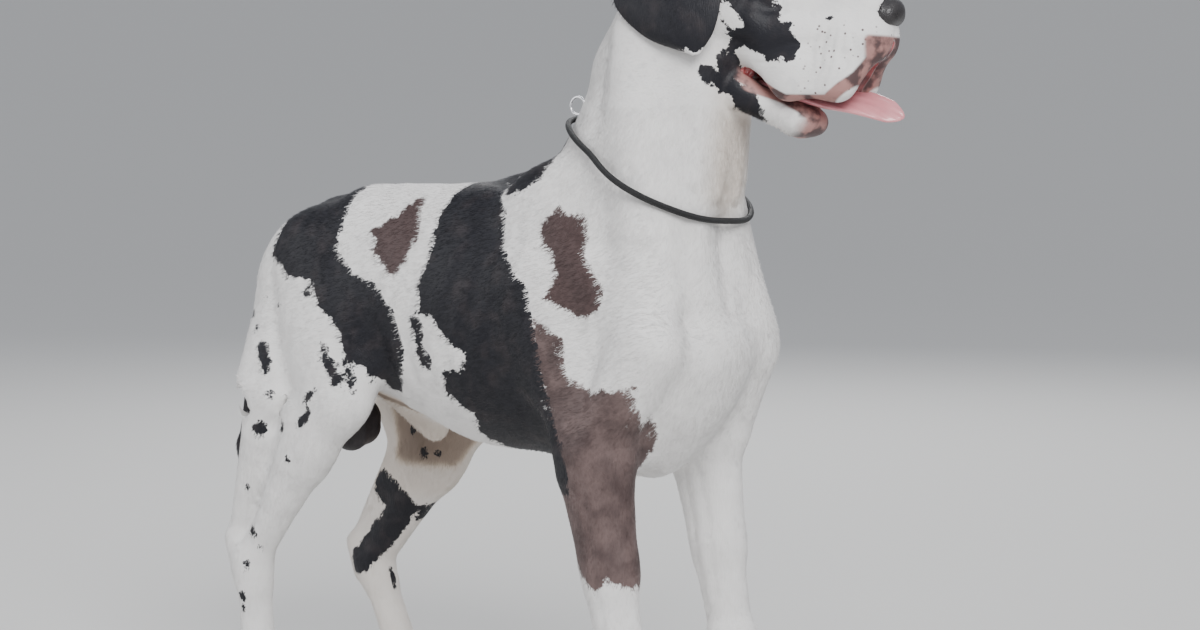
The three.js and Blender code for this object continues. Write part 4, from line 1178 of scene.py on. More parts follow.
PATTERN_OUTPUTS = {
    coat_pattern: ("Colour", "Roughness", "Wet", "Relief"),
    eye_pattern: ("Colour",),
    nose_pattern: ("Colour", "Relief"),
    tongue_pattern: ("Colour", "Relief"),
    cord_pattern: ("Relief",),
}
SKIN = Finish("coat", bump=0.55, depth=0.0012, shine=0.32, pattern=coat_pattern)
TUFT = Finish("coat", shine=0.32, pattern=coat_pattern)
EYEBALL = Finish("eye", roughness=0.12, coat=1.0, pattern=eye_pattern)
LID_RIM = Finish("dark_skin", (0.014, 0.010, 0.011, 1), 0.30, coat=0.4)
NOSE = Finish("nose_skin", roughness=0.42, coat=0.2, bump=0.5, depth=0.0006, pattern=nose_pattern)
TONGUE = Finish("tongue", roughness=0.32, coat=0.55, bump=0.35, depth=0.0005, pattern=tongue_pattern)
CLAW = Finish("claw", (0.035, 0.028, 0.026, 1), 0.34, coat=0.3)
CORD = Finish("collar_cord", (0.012, 0.012, 0.013, 1), 0.62, bump=0.8, depth=0.0008, pattern=cord_pattern)
STEEL = Finish("collar_ring", (0.78, 0.78, 0.80, 1), 0.12, metallic=1.0)
FLOOR = Finish("floor", (0.62, 0.615, 0.60, 1), 0.9)


def finished(made: bpy.types.Object, finish: Finish, nodes: list[str]) -> bpy.types.Object:
    """Gives a piece its surface and its place in the model.

    Args:
        made: The piece.
        finish: Its surface.
        nodes: Names of the solids that it stands for.
    Returns:
        The piece.
    """
    made.data.materials.clear()
    made.data.materials.append(finish.material(made.name))
    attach(made, BODY)
    if nodes:
        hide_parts(*nodes)
    made.data.calc_loop_triangles()
    count = len(made.data.loop_triangles)
    log.info("%s: %d triangles, for %s", made.name, count, ", ".join(nodes) or "detail")
    return made


# Pieces


LEG_NODES = [f"{part}_{side.word}" for side in Side
             for part in ("upper_arm", "forearm", "fore_pastern", "fore_paw", "thigh", "lower_thigh",
                          "hind_pastern", "hind_paw")]
FLESH_NODES = ["torso", "neck", "head", "lower_jaw", "tail_root", "tail_end", "sheath", "scrotum",
               *LEG_NODES]
EAR_NODES = [f"ear_{side.word}" for side in Side]


@dataclass
class Skin:
    """The one skin of the dog with its ears, and all that the coat needs to know about it."""

    anatomy: Anatomy
    eyes: list[Eye]
    markings: Markings
    voxel: float = 6.2
    SLIT = (12.6, 6.6, 5.2)
    LID = 2.2
    DROOP = 13.0
    EAR_REAR = ((2, 40, -18), (-26, 72, -30), (-24, 92, -62), (30, 104, -106), (104, 103, -128))
    EAR_FRONT = ((92, 46, -10), (118, 80, -14), (134, 95, -52), (130, 101, -96), (113, 103, -126))
    EAR_THICK = (9.0, 3.4)
    EAR_CUP = 13.0
    EAR_STEPS = (24, 44)
    EAR_STEPS_QUICK = (12, 20)

    def build(self) -> bpy.types.Object:
        """Makes the skin.

        Returns:
            The finished object. Its points, normals and markings are kept for the coat.
        """
        sources = [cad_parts[name] for name in FLESH_NODES]
        balls = [(eye.at, eye.radius + 2.6) for eye in self.eyes]
        mesh = remeshed("skin", sources, self.voxel * (1), balls, 0.45)
        log.info("skin: %d points from the voxels", len(mesh.vertices))
        points = read_points(mesh)
        h = self.anatomy.to_head(points)
        refine(mesh, (h[:, 0] > 70) & (points[:, 2] > 940))
        for reach in ((26.0, 21.0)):
            points = read_points(mesh)
            refine(mesh, np.min([np.linalg.norm(points - e.at, axis=1) for e in self.eyes], 0) < reach)
        self._settle(mesh, 3)
        self._droop(mesh)
        self._relief(mesh)
        self._lids(mesh)
        made = self._with_ears(mesh)
        self.points, self.normals = read_points(made.data), read_normals(made.data)
        self.marks = self.markings.at(self.points)
        self._mark_ears()
        for name, values in self.marks.items():
            write_value(made.data, name, values)
        atlas = Atlas(self.anatomy)
        uv = atlas.place(self.points)
        corners = np.empty(len(made.data.loops), np.int32)
        made.data.loops.foreach_get("vertex_index", corners)
        layer = made.data.uv_layers.new(name="OFBake")
        layer.data.foreach_set("uv", uv[corners].astype(np.float32).ravel())
        return finished(made, SKIN, FLESH_NODES + EAR_NODES)

    def _settle(self, mesh: bpy.types.Mesh, steps: int) -> None:
        """Draws the points along their normals onto the field, a coat's depth under it."""
        whole, jaw = self.anatomy.whole(), self.anatomy.jaw_flesh()
        lids = Flesh([Mass(tuple(e.at), tuple(e.at), e.radius + self.LID, e.radius + self.LID, 1, 12)
                      for e in self.eyes])

        def field_at(q: Array) -> Array:
            """The flesh with its lower jaw and its lids."""
            return flow(flow(whole.distance(q), jaw.distance(q), 5.0), lids.distance(q), 12.0)

        self._pull_in(mesh, field_at)
        points = read_points(mesh)
        for step in range(steps):
            normals = read_normals(mesh)
            d = field_at(points)
            slope = (field_at(points + normals * 0.5) - d) / 0.5
            off = d + COAT_DEPTH
            if step == 0:
                head = self.anatomy.to_head(points)[:, 0] > 60
                limit = np.where(head & (points[:, 2] > 900), 4.0, 9.0)
                self.weight = smooth(np.abs(off), limit * 1.8, limit)
            move = np.where(slope > 0.25, -off / np.maximum(slope, 0.25), 0.0)
            points = points + normals * (np.clip(move, -6, 6) * self.weight)[:, None]
            write_points(mesh, points)
        left = np.abs(field_at(points) + COAT_DEPTH)[self.weight > 0.9]
        log.info("skin: settled to %.2f mm", float(left.mean()))

    def _pull_in(self, mesh: bpy.types.Mesh, field_at: Callable) -> None:
        """Evens out what stands far off the field on the body, where the solids meet at an angle."""
        points = read_points(mesh)
        off = np.abs(field_at(points) + COAT_DEPTH)
        head = (self.anatomy.to_head(points)[:, 0] > -10) & (points[:, 2] > 930)
        ends = np.empty(len(mesh.edges) * 2, np.int32)
        mesh.edges.foreach_get("vertices", ends)
        a, b = ends.reshape(-1, 2).T
        wide = ((off > 4) & ~head).astype(float)
        for _ in range(5):
            near = np.maximum(wide[a], wide[b])
            np.maximum.at(wide, a, near)
            np.maximum.at(wide, b, near)
        wide[head] = 0
        loose = np.flatnonzero(wide)
        count = np.bincount(a, minlength=len(points)) + np.bincount(b, minlength=len(points))
        for step in range(26):
            total = np.zeros_like(points)
            for axis in range(3):
                total[:, axis] = (np.bincount(a, points[b, axis], len(points))
                                  + np.bincount(b, points[a, axis], len(points)))
            points[loose] += 0.6 * (total[loose] / count[loose, None] - points[loose])
            if step % 3 == 2:
                q = points[loose]
                d = field_at(q)
                slope = np.stack([field_at(q + move) - d for move in np.eye(3)], 1)
                size = np.maximum((slope * slope).sum(1), 0.2)
                points[loose] = q - slope * (np.clip(d + COAT_DEPTH, -12, 12) / size)[:, None]
        write_points(mesh, points)
        log.info("skin: %d points evened out", len(loose))

    def _droop(self, mesh: bpy.types.Mesh) -> None:
        """Lets the upper lips hang lower over the lower jaw than in the solids."""
        points = read_points(mesh)
        h = self.anatomy.to_head(points)
        lip = self.anatomy.jaw_flesh().distance(points) - self.anatomy.head_flesh().distance(points)
        share = smooth(h[:, 2], -112, -158) * smooth(h[:, 0], 150, 205) * smooth(h[:, 0], 335, 296)
        share = share * smooth(lip, 0, 5) * (points[:, 2] > 900) * smooth(np.abs(h[:, 1]), 8, 22)
        h[:, 2] -= self.DROOP * share
        write_points(mesh, self.anatomy.from_head(h))

    def _relief(self, mesh: bpy.types.Mesh) -> None:
        """Adds folds, grooves, tendons and ribs."""
        points, normals = read_points(mesh), read_normals(mesh)
        h = self.anatomy.to_head(points)
        lift = np.zeros(len(points))
        for strokes, q in ((STROKES, points), (HEAD_STROKES, h)):
            for s in strokes:
                for side in (-1, 1):
                    if side not in s.sides:
                        continue
                    line = tuple((p[0], p[1] * side if 1 in s.sides and -1 in s.sides else p[1], p[2])
                                 for p in s.points)
                    d = segment_distance(q, line, s.flat)
                    here = s.depth * np.exp(-((d / s.radius) ** 2))
                    if s.flat:
                        here = here * smooth(q[:, 1] * side, 0, 20)
                    centred = all(p[1] == 0 for p in s.points) and not s.flat
                    lift += here * (0.5 if centred else 1.0)
        write_points(mesh, points + normals * (lift * self.weight)[:, None])

    def _lids(self, mesh: bpy.types.Mesh) -> None:
        """Opens the lids in an almond over each eye, and folds the skin round them."""
        points = read_points(mesh)
        for eye in self.eyes:
            across, up = eye_axes(self.anatomy, eye)
            away = points - eye.at
            reach = np.linalg.norm(away, axis=1)
            near = np.flatnonzero((reach < 34) & (away @ eye.out > 0))
            ray = away[near] / reach[near, None]
            u, v = ray @ across * ALMOND_REACH, ray @ up * ALMOND_REACH
            depth = almond_depth(u, v, self.SLIT)
            crease = np.exp(-(((depth + 4.6) / 1.5) ** 2)) * (v > -2)
            crease = crease + 0.7 * np.exp(-(((depth + 7.5) / 2) ** 2))
            outer = np.maximum(reach[near] - crease, eye.radius + 1.0)
            rim = smooth(depth, -4.5, -0.8)
            outer = outer * (1 - rim) + np.minimum(outer, eye.radius + 1.5) * rim
            inner = eye.radius - 1.6
            opened = smooth(depth, -0.7, 0.7)
            points[near] = eye.at + ray * (outer * (1 - opened) + inner * opened)[:, None]
        write_points(mesh, points)

    def _ear(self, s: int, steps: int, down_steps: int) -> Array:
        """Rings of one ear, a closed leaf between its front and rear edges."""
        down = np.linspace(0, 1, down_steps)
        rear = curve_at([(x, s * y, z) for x, y, z in self.EAR_REAR], down)
        front = curve_at([(x, s * y, z) for x, y, z in self.EAR_FRONT], down)
        turn = np.arange(2 * steps) / steps * math.pi
        across = (1 - np.cos(turn)) / 2
        face = np.sign(np.sin(turn)) * np.minimum(np.abs(np.sin(turn)) * 1.8, 1)
        face[[0, steps]] = 0
        rim = 1 - (2 * across - 1) ** 2
        rows = []
        for i, t in enumerate(down):
            before, after = max(i - 1, 0), min(i + 1, down_steps - 1)
            run = ((rear[after] - rear[before])[None] * (1 - across)[:, None]
                   + (front[after] - front[before])[None] * across[:, None])
            out = unit(np.cross(front[i] - rear[i], run)) * s
            thick = np.interp(t, (0, 1), self.EAR_THICK)
            half = thick / 2 * (0.45 + 0.55 * rim)
            bulge = self.EAR_CUP * rim * math.sin(math.pi * t * 0.9)
            fold = 1.6 * np.exp(-(((across - 0.3 - 0.25 * t) / 0.07) ** 2)) * math.sin(math.pi * t)
            ripple = 0.8 * np.sin(across * 9 + t * 5) * t * rim
            lift = bulge - fold + ripple + face * half
            rows.append(rear[i] + (front[i] - rear[i]) * across[:, None] + out * lift[:, None])
        return self.anatomy.from_head(np.array(rows))

    def _with_ears(self, mesh: bpy.types.Mesh) -> bpy.types.Object:
        """Joins the two ears into the skin's mesh."""
        bm = bmesh.new()
        bm.from_mesh(mesh)
        self.body_count = len(bm.verts)
        steps, down_steps = self.EAR_STEPS
        for s in (-1, 1):
            leaf = lofted(self._ear(s, steps, down_steps))
            bm.from_mesh(leaf)
            bpy.data.meshes.remove(leaf)
        self.ear_count = 2 * steps * down_steps
        bm.to_mesh(mesh)
        bm.free()
        mesh.update()
        return placed("skin", mesh)

    def _mark_ears(self) -> None:
        """Black ears with a thin white edge at the tip, bare and dark inside."""
        start = self.body_count
        for s in (-1, 1):
            part = slice(start, start + self.ear_count)
            h = self.anatomy.to_head(self.points[part])
            inner = (self.normals[part] @ (self.anatomy.head_turn @ np.array([0, s, 0]))) < -0.1
            low = segment_distance(h, ((96, s * 104, -133), (122, s * 104, -131)))
            self.marks["black"][part] = np.clip(low - 13.0, -30, 30)
            self.marks["brown"][part] = -60
            self.marks["bare"][part] = 0.42 * inner
            for name in ("mouth", "dark", "beige_and_shade", "whisker"):
                self.marks[name][part] = 0
            self.marks["limb"][part] = 1
            start += self.ear_count

    @property
    def inside_ear(self) -> Array:
        """Whether each point is on the hidden face of an ear."""
        out = np.zeros(len(self.points), bool)
        out[self.body_count:] = self.marks["bare"][self.body_count:] > 0.3
        return out


def eye_axes(anatomy: Anatomy, eye: Eye) -> tuple[Array, Array]:
    """The eye's directions to the outer corner and up, square to the way that it looks."""
    tilt = anatomy.head_turn @ np.array([0.16, 0, 1.0])
    up = unit(tilt - eye.out * float(tilt @ eye.out))
    across = np.cross(up, eye.out) * eye.side.value
    return across, up


def almond_depth(u: Array, v: Array, slit: tuple[float, float, float]) -> Array:
    """How far inside an almond points lie, from its half width and its heights above and below."""
    wide, above, below = slit
    lid = np.where(v > 0, above, below)
    shape = np.sqrt((u / wide) ** 2 + (np.abs(v) / lid) ** (1.6))
    return (1 - shape) * (lid * 0.9 + 0.12 * np.abs(u))


class Atlas:
    """Places on an unwrap of the skin: one chart for each stretch of the dog, along it and round it."""

    MARGIN = 0.01

    def __init__(self, anatomy: Anatomy) -> None:
        self.anatomy = anatomy

    def charts(self, p: Array) -> Array:
        """The chart of each point: 0 trunk, 1 neck, 2 head, 3 to 6 legs, 7 tail."""
        h = self.anatomy.to_head(p)
        x, y, z = p.T
        out = np.zeros(len(p), int)
        out[(x > 0) & (z > 760)] = 1
        out[(h[:, 0] > -20) & (z > 940)] = 2
        fore = (x > 20) & (z < 500)
        out[fore & (y < 0)], out[fore & (y >= 0)] = 3, 4
        hind = (x < -230) & (z < 600) & (np.abs(y) > 36 * (z > 430))
        out[hind & (y < 0)], out[hind & (y >= 0)] = 5, 6
        out[segment_distance(p, tuple(self.anatomy.tail_line[1:])) < 36] = 7
        return out

    def place(self, p: Array) -> Array:
        """UV of each point."""
        chart = self.charts(p)
        h = self.anatomy.to_head(p)
        x, y, z = p.T
        axes = [
            (y, z - 650, (x + 560) / 900), (y, (x - 150) * 0.9, (z - 700) / 480),
            (h[:, 1], h[:, 2] + 85, (h[:, 0] + 60) / 440),
            (x - 180, y + TRACK, z / 560), (x - 180, y - TRACK, z / 560),
            (x + 430, y + TRACK, z / 620), (x + 400, y - TRACK, z / 620),
            (x + 600, y, (z - 300) / 460),
        ]
        cells = [(0, 0, 0.5, 0.5), (0.5, 0, 0.5, 0.34), (0.5, 0.34, 0.5, 0.33), (0, 0.5, 0.25, 0.5),
                 (0.25, 0.5, 0.25, 0.5), (0.5, 0.67, 0.2, 0.33), (0.7, 0.67, 0.2, 0.33),
                 (0.9, 0.67, 0.1, 0.33)]
        uv = np.zeros((len(p), 2))
        for i, ((a, b, along), (u0, v0, w, t)) in enumerate(zip(axes, cells)):
            here = chart == i
            turn = np.arctan2(a, b)[here] / (2 * math.pi) + 0.5
            m = self.MARGIN
            uv[here, 0] = u0 + m + (w - 2 * m) * turn
            uv[here, 1] = v0 + m + (t - 2 * m) * np.clip(along[here], 0, 1)
        return uv


@dataclass
class Coat:
    """Fine tufts over the skin, in one piece for each region."""

    skin: Skin
    PATCH = 0.0015

    def build(self) -> list[bpy.types.Object]:
        """Makes the tufts of every region.

        Returns:
            The finished pieces.
        """
        mesh = bpy.data.objects["skin"].data
        mesh.calc_loop_triangles()
        corners = np.empty(len(mesh.loop_triangles) * 3, np.int32)
        mesh.loop_triangles.foreach_get("vertices", corners)
        corners = corners.reshape(-1, 3)
        p = self.skin.points[corners]
        area = np.linalg.norm(np.cross(p[:, 1] - p[:, 0], p[:, 2] - p[:, 0]), axis=1) / 2
        marks = self.skin.marks
        hairless = np.maximum.reduce([marks["mouth"], marks["dark"], marks["bare"] - 0.25])
        hidden = hairless[corners].max(1) > 0.3
        hidden |= self.skin.inside_ear[corners].any(1)
        middle = p.mean(1)
        flat = unit(np.cross(p[:, 1] - p[:, 0], p[:, 2] - p[:, 0]))
        hidden |= (middle[:, 2] < 14) & (flat[:, 2] < -0.2)
        for eye in self.skin.eyes:
            hidden |= np.linalg.norm(middle - eye.at, axis=1) < eye.radius + 4.5
        chart = Atlas(self.skin.anatomy).charts(middle)
        rng = np.random.default_rng(SEED)
        out = []
        members = {Region.HEAD: (2,), Region.NECK: (1,), Region.TRUNK: (0, 7), Region.FORE: (3, 4),
                   Region.HIND: (5, 6)}
        for region, charts in members.items():
            odds = np.where(np.isin(chart, charts) & ~hidden, area, 0.0)
            count = region.tufts // 1
            out.append(self._tufts(region, corners, odds / odds.sum(), count, rng))
        return out

    def _tufts(self, region: Region, corners: Array, odds: Array, count: int,
               rng: np.random.Generator) -> bpy.types.Object:
        """The tufts of one region."""
        skin = self.skin
        pick = np.searchsorted(np.cumsum(odds), rng.random(count)).clip(0, len(corners) - 1)
        a, b = rng.random(count), rng.random(count)
        over = a + b > 1
        a, b = np.where(over, 1 - a, a), np.where(over, 1 - b, b)
        share = np.stack([1 - a - b, a, b], 1)
        tri = corners[pick]
        root = (skin.points[tri] * share[:, :, None]).sum(1)
        normal = unit((skin.normals[tri] * share[:, :, None]).sum(1))
        marks = {k: (v[tri] * share).sum(1) for k, v in skin.marks.items()}
        lie = skin.markings.lie(root) + rng.normal(0, 0.12, (count, 3))
        lie = unit(lie - normal * (lie * normal).sum(1)[:, None])
        side = np.cross(normal, lie)
        h = skin.anatomy.to_head(root)
        face = smooth(h[:, 0], 60, 170) * (root[:, 2] > 940)
        low = smooth(root[:, 2], 160, 60)
        length = region.length * rng.uniform(0.7, 1.2, count) * (1 - 0.45 * face) * (1 - 0.35 * low)
        wide = region.width * rng.uniform(0.7, 1.2, count) * (1 - 0.25 * face)
        rise = np.tan(np.radians(rng.uniform(5, 13, count)))
        base = root - normal * 0.25
        middle = base + (lie + normal * rise[:, None]) * (length * 0.5)[:, None]
        tip = base + lie * length[:, None] + normal * (length * rise * 0.75)[:, None]
        tip = tip + side * (rng.normal(0, 0.08, count) * length)[:, None]
        w = side * (wide / 2)[:, None]
        points = np.stack([base + w, base - w, middle - w * 0.8, middle + w * 0.8, tip], 1).reshape(-1, 3)
        mesh = bpy.data.meshes.new("coat_" + region.word)
        mesh.vertices.add(count * 5)
        mesh.vertices.foreach_set("co", ((points + SHIFT) * MM).astype(np.float32).ravel())
        start = np.arange(count)[:, None] * 5
        corner = np.concatenate([start + [0, 1, 2, 3], start + [3, 2, 4]], 1)
        mesh.loops.add(count * 7)
        mesh.loops.foreach_set("vertex_index", corner.astype(np.int32).ravel())
        mesh.polygons.add(count * 2)
        starts = (np.arange(count)[:, None] * 7 + [0, 4]).astype(np.int32)
        mesh.polygons.foreach_set("loop_start", starts.ravel())
        mesh.update(calc_edges=True)
        mesh.validate()
        mesh.polygons.foreach_set("use_smooth", np.ones(len(mesh.polygons), bool))
        for name, values in marks.items():
            write_value(mesh, name, np.repeat(values, 5))
        at = Atlas(skin.anatomy).place(root)
        spread = np.array([(-1, -1), (1, -1), (1, 0.4), (-1, 0.4), (0, 1)]) * self.PATCH
        uv = (at[:, None] + spread).reshape(-1, 2)
        layer = mesh.uv_layers.new(name="OFBake")
        layer.data.foreach_set("uv", uv[corner.ravel()].astype(np.float32).ravel())
        mesh.normals_split_custom_set_from_vertices(np.repeat(normal, 5, 0).tolist())
        made = bpy.data.objects.new("coat_" + region.word, mesh)
        bpy.context.scene.collection.objects.link(made)
        return finished(made, TUFT, [])


@dataclass
class Face:
    """Eyes with the rims of their lids, nose and tongue."""

    anatomy: Anatomy
    eyes: list[Eye]
    TONGUE_LINE = ((150, 0, -152), (205, 0, -166), (250, 1, -172), (300, 7, -176), (352, 10, -188))
    TONGUE_WIDTH = (22, 24, 26, 25, 17)
    TONGUE_THICK = (6, 7, 7.5, 7, 5)
    TONGUE_ROLL = 0.8

    def build(self) -> None:
        """Makes the pieces of the face."""
        for eye in self.eyes:
            self._eyeball(eye)
            self._rim(eye)
        self._nose()
        self._tongue()

    def _eyeball(self, eye: Eye) -> None:
        """An eyeball whose cornea stands out a little."""
        across, _ = eye_axes(self.anatomy, eye)
        rings, columns = 40, 48
        gaze = unit(eye.out + 0.10 * self.anatomy.head_turn @ np.array([1.0, 0, 0]))
        along = unit(across - gaze * float(across @ gaze))
        high = np.cross(gaze, along)
        angle = np.linspace(0.004, math.pi - 0.004, rings)
        radius = eye.radius * (1 + 0.035 * np.exp(-((angle / 0.55) ** 4)))
        cos, sin = circle(columns)
        ring = cos[None, :, None] * along + sin[None, :, None] * high
        points = (gaze * (np.cos(angle) * radius)[:, None, None]
                  + ring * (np.sin(angle) * radius)[:, None, None] + eye.at)
        angles = {"angle": np.repeat(angle[:, None], columns, 1)}
        made = placed(f"eye_ball_{eye.side.word}", lofted(points, values=angles))
        finished(made, EYEBALL, [f"eye_{eye.side.word}"])

    def _rim(self, eye: Eye) -> None:
        """The dark edge of the lids, a thin roll round the almond."""
        across, up = eye_axes(self.anatomy, eye)
        wide, above, below = Skin.SLIT
        cos, sin = circle(72)
        u = cos * (wide + 0.5)
        v = np.sign(sin) * np.abs(sin) ** 1.25 * (np.where(sin > 0, above, below) + 0.3)
        ray = unit(eye.out * np.sqrt(np.maximum(ALMOND_REACH ** 2 - u * u - v * v, 1))[:, None]
                   + u[:, None] * across + v[:, None] * up)
        rings = tube(eye.at + ray * (eye.radius + 0.75), 1.15, 10)
        finished(placed(f"lid_rim_{eye.side.word}", lofted(rings, True)), LID_RIM, [])

    def _nose(self) -> None:
        """The nose over its solid, drawn onto the same masses in finer detail."""
        mesh = remeshed("nose_skin", [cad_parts["nose"]], 0.9, [], 0.0)
        flesh = Flesh([self.anatomy.in_body(m) for m in self.anatomy.nose])
        points = read_points(mesh)
        for step in range(3):
            normals = read_normals(mesh)
            d = flesh.distance(points)
            if step == 0:
                weight = smooth(np.abs(d), 3.2, 1.6)
            slope = np.maximum((flesh.distance(points + normals * 0.3) - d) / 0.3, 0.3)
            points = points - normals * (np.clip(d / slope, -3, 3) * weight)[:, None]
            write_points(mesh, points)
        h = self.anatomy.to_head(points)
        groove = segment_distance(h, ((350, 0, -58), (344, 0, -70), (330, 0, -92)))
        points = points - read_normals(mesh) * (1.6 * np.exp(-((groove / 1.8) ** 2)))[:, None]
        write_points(mesh, points)
        finished(placed("nose_skin", mesh), NOSE, ["nose"])

    def _tongue(self) -> None:
        """The tongue, with a groove down its middle."""
        rows, columns = 60, 40
        t = np.linspace(0.002, 0.998, rows)
        ring = np.minimum(np.sqrt(1 - (1 - 2 * t) ** 2) * 1.7, 1)
        line = curve_at(self.TONGUE_LINE, t)
        cos, sin = circle(columns)
        table = np.linspace(0, 1, 5)
        across = cos[None] * (ring * np.interp(t, table, self.TONGUE_WIDTH))[:, None]
        up = sin[None] * (ring * np.interp(t, table, self.TONGUE_THICK))[:, None]
        up = up - 2.5 * (1 - (across / 24) ** 2)
        up = up - 1.7 * np.exp(-((across / 2.6) ** 2)) * (sin[None] > 0) * ring[:, None]
        up = up + 0.5 * np.sin(across * 0.7 + t[:, None] * 30) * (sin[None] > 0.2)
        roll = self.TONGUE_ROLL * t[:, None]
        points = np.repeat(line[:, None], columns, 1)
        points[:, :, 1] += across * np.cos(roll) - up * np.sin(roll)
        points[:, :, 2] += across * np.sin(roll) + up * np.cos(roll)
        made = placed("tongue_skin", lofted(self.anatomy.from_head(points)))
        finished(made, TONGUE, ["tongue"])


@dataclass
class Claws:
    """The sixteen claws."""

    anatomy: Anatomy
    STEPS = 22
    SIDES = 16
    THICK = 4.6
    FLOOR = 0.4

    def build(self) -> None:
        """Makes the claws of every foot."""
        for kind, s, fetlock, size in self.anatomy.feet():
            for i, toe in enumerate(self.anatomy.TOES):
                tip = self.anatomy.toe(fetlock, toe, size)[2]
                end = f"{Side(s).word}_{i + 1}"
                self._claw(f"{kind}_claw_horn_{end}", f"{kind}_claw_{end}", tip, toe[3], size)

    def _claw(self, name: str, node: str, tip: Point, toe_radius: float, size: float) -> None:
        """One claw, curved forwards and down."""
        x, y, z = tip
        root = toe_radius * size * 0.62
        bend = ((0, 5), (9, 5), (17, -2), (21, -9))
        line = [(x + root + ahead, y, z + lift) for ahead, lift in bend]
        t = np.linspace(0.004, 0.996, self.STEPS)
        middle = curve_at(line, t)
        ahead = unit(np.gradient(middle, axis=0))
        up = unit(np.cross(ahead, np.cross([0, 0, 1.0], ahead)))
        ring = np.sqrt(1 - (1 - 2 * t) ** 2) * (1 - 0.45 * t) * self.THICK * size
        cos, sin = circle(self.SIDES)
        points = middle[:, None] + up[:, None] * (cos[None] * ring[:, None])[:, :, None]
        points[:, :, 1] += sin[None] * ring[:, None] * 0.8
        points[:, :, 2] = np.maximum(points[:, :, 2], self.FLOOR)
        finished(placed(name, lofted(points)), CLAW, [node])


@dataclass
class Collar:
    """A cord round the neck and the ring that hangs from it."""

    anatomy: Anatomy
    MIDDLE = np.array([132.0, 0, 862])
    ALONG = unit(np.array([0.87, 0, -0.49]))
    RADIUS = 4.2
    CLEAR = -1.0
    STEPS = 36
    SPANS = 0.3
    SIDES = 14
    NAPE = 180
    KEEPER = slice(178, 184)
    RING_RADIUS = 12.0
    RING_THICK = 1.8
    RING_TILT = -1.1

    def _ray(self, turn: Array) -> Array:
        """Directions in the collar's plane."""
        return np.cos(turn)[:, None] * self.ALONG + np.sin(turn)[:, None] * np.array([0, 1.0, 0])

    def build(self) -> None:
        """Makes the cord, its keeper and its ring."""
        flesh = self.anatomy.whole()
        turns = np.arange(self.STEPS) / self.STEPS * 2 * math.pi
        steps = np.arange(30, 200, 0.25)
        reach = []
        for ray in self._ray(turns):
            d = flesh.distance(self.MIDDLE + steps[:, None] * ray)
            reach.append(steps[np.argmax(d > 0)])
        fine = np.arange(360) / 360 * 2 * math.pi
        off = np.abs(np.angle(np.exp(1j * (fine[:, None] - turns[None]))))
        pushed = np.where(off < self.SPANS, np.array(reach)[None] * np.cos(off), 0).max(1)
        kernel = np.exp(-((np.arange(-18, 19) / 9) ** 2))
        padded = np.concatenate([pushed[-18:], pushed, pushed[:18]])
        pushed = np.convolve(padded, kernel / kernel.sum(), "valid")
        line = self.MIDDLE + self._ray(fine) * (pushed + self.RADIUS + self.CLEAR)[:, None]
        run = np.concatenate([[0], np.cumsum(np.linalg.norm(np.diff(line, axis=0), axis=1))])
        turn = np.arange(self.SIDES) / self.SIDES * 2 * math.pi
        values = {"along": np.repeat(run[:, None], self.SIDES, 1), "around": np.tile(turn, (len(line), 1))}
        made = placed("collar_cord", lofted(tube(line, self.RADIUS, self.SIDES), True, values))
        finished(made, CORD, ["collar"])
        keeper = tube(line[self.KEEPER], self.RADIUS + 1.3, 20, False)
        finished(placed("collar_keeper", lofted(keeper)), STEEL, [])
        self._ring(line[self.NAPE] + np.array([-5.0, 0, 18.2]))

    def _ring(self, at: Array) -> None:
        """The ring, where the solids have it."""
        cos, sin = circle(72)
        flat = np.stack([cos, np.zeros(72), sin], 1) * self.RING_RADIUS
        spin = np.array(Matrix.Rotation(self.RING_TILT, 3, "Y"))
        rings = tube(at + flat @ spin.T, self.RING_THICK, 16)
        finished(placed("collar_ring_steel", lofted(rings, True)), STEEL, ["collar_ring"])


# Stage


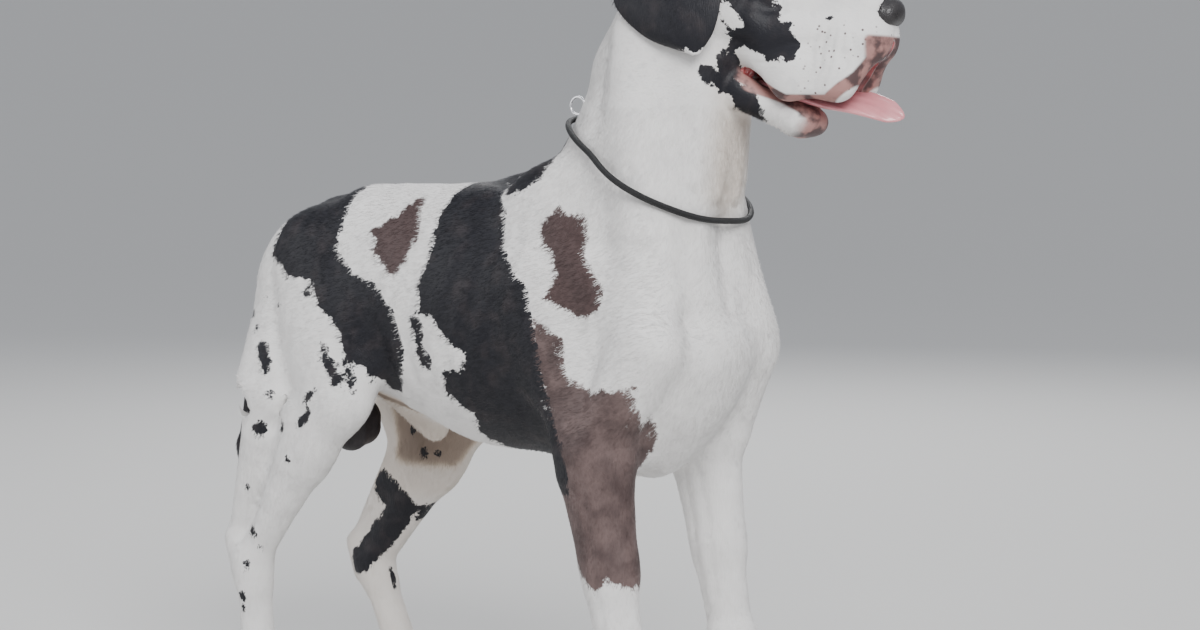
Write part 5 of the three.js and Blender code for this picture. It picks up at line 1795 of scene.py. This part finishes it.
@dataclass
class Studio:
    """Floor, lights and camera."""

    LENS = 60
    SENSOR = 36
    CAMERA_AT = (1.7672, -2.238, 0.88)
    TURN = math.radians(36)
    DROP = math.radians(4.72)
    LIT = Vector((0.05, 0, 0.65))

    def build(self) -> None:
        """Sets up what stands round the dog."""
        self._floor()
        self._lights()
        self._camera()

    def _floor(self) -> None:
        """A pale floor that rises far away."""
        profile = [(0.0, 0.0), (9.0, 0.0), (12.0, 0.05), (15.0, 0.4), (19.0, 1.5), (24.0, 3.8), (30.0, 7.5)]
        bm = bmesh.new()
        verts = [bm.verts.new((r, 0, z)) for r, z in profile]
        edges = [bm.edges.new(ends) for ends in zip(verts, verts[1:])]
        bmesh.ops.spin(bm, geom=verts + edges, cent=(0, 0, 0), axis=(0, 0, 1), angle=2 * math.pi, steps=96,
                       use_merge=True)
        bmesh.ops.remove_doubles(bm, verts=bm.verts, dist=1e-5)
        bmesh.ops.recalc_face_normals(bm, faces=bm.faces)
        mesh = bpy.data.meshes.new("floor")
        bm.to_mesh(mesh)
        bm.free()
        mesh.polygons.foreach_set("use_smooth", np.ones(len(mesh.polygons), bool))
        made = bpy.data.objects.new("floor", mesh)
        mesh.materials.append(FLOOR.material("floor"))
        bpy.context.scene.collection.objects.link(made)

    def _lights(self) -> None:
        """Soft light from above and both sides, over a pale sky."""
        world = bpy.data.worlds.new("sky")
        world.use_nodes = True
        back = world.node_tree.nodes["Background"]
        back.inputs["Color"].default_value = (0.90, 0.93, 1.0, 1)
        back.inputs["Strength"].default_value = 0.68
        bpy.context.scene.world = world
        for name, at, size, power in (
            ("key", (3.2, -2.6, 3.6), 2.4, 260), ("fill", (-3.4, -3.6, 2.4), 3.2, 90),
            ("back", (-1.8, 3.6, 3.4), 2.6, 120),
        ):
            light = bpy.data.lights.new(name, "AREA")
            light.size, light.energy = size, power
            made = bpy.data.objects.new(name, light)
            made.location = at
            made.rotation_euler = (self.LIT - Vector(at)).to_track_quat("-Z", "Y").to_euler()
            bpy.context.scene.collection.objects.link(made)

    def _camera(self) -> None:
        """The camera where the photo was taken from."""
        data = bpy.data.cameras.new("camera")
        data.lens = self.LENS
        data.sensor_width = self.SENSOR
        made = bpy.data.objects.new("camera", data)
        made.location = self.CAMERA_AT
        level = math.cos(self.DROP)
        ahead = Vector((-math.sin(self.TURN) * level, math.cos(self.TURN) * level, -math.sin(self.DROP)))
        made.rotation_euler = ahead.to_track_quat("-Z", "Y").to_euler()
        bpy.context.scene.collection.objects.link(made)
        bpy.context.scene.camera = made


def main() -> None:
    """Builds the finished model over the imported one."""
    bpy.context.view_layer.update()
    anatomy = Anatomy()
    eyes = [Eye.placed(anatomy, side) for side in Side]
    skin = Skin(anatomy, eyes, Markings(anatomy, eyes))
    skin.build()
    Coat(skin).build()
    Face(anatomy, eyes).build()
    Claws(anatomy).build()
    Collar(anatomy).build()
    Studio().build()


if __name__ == "__main__":
    main()
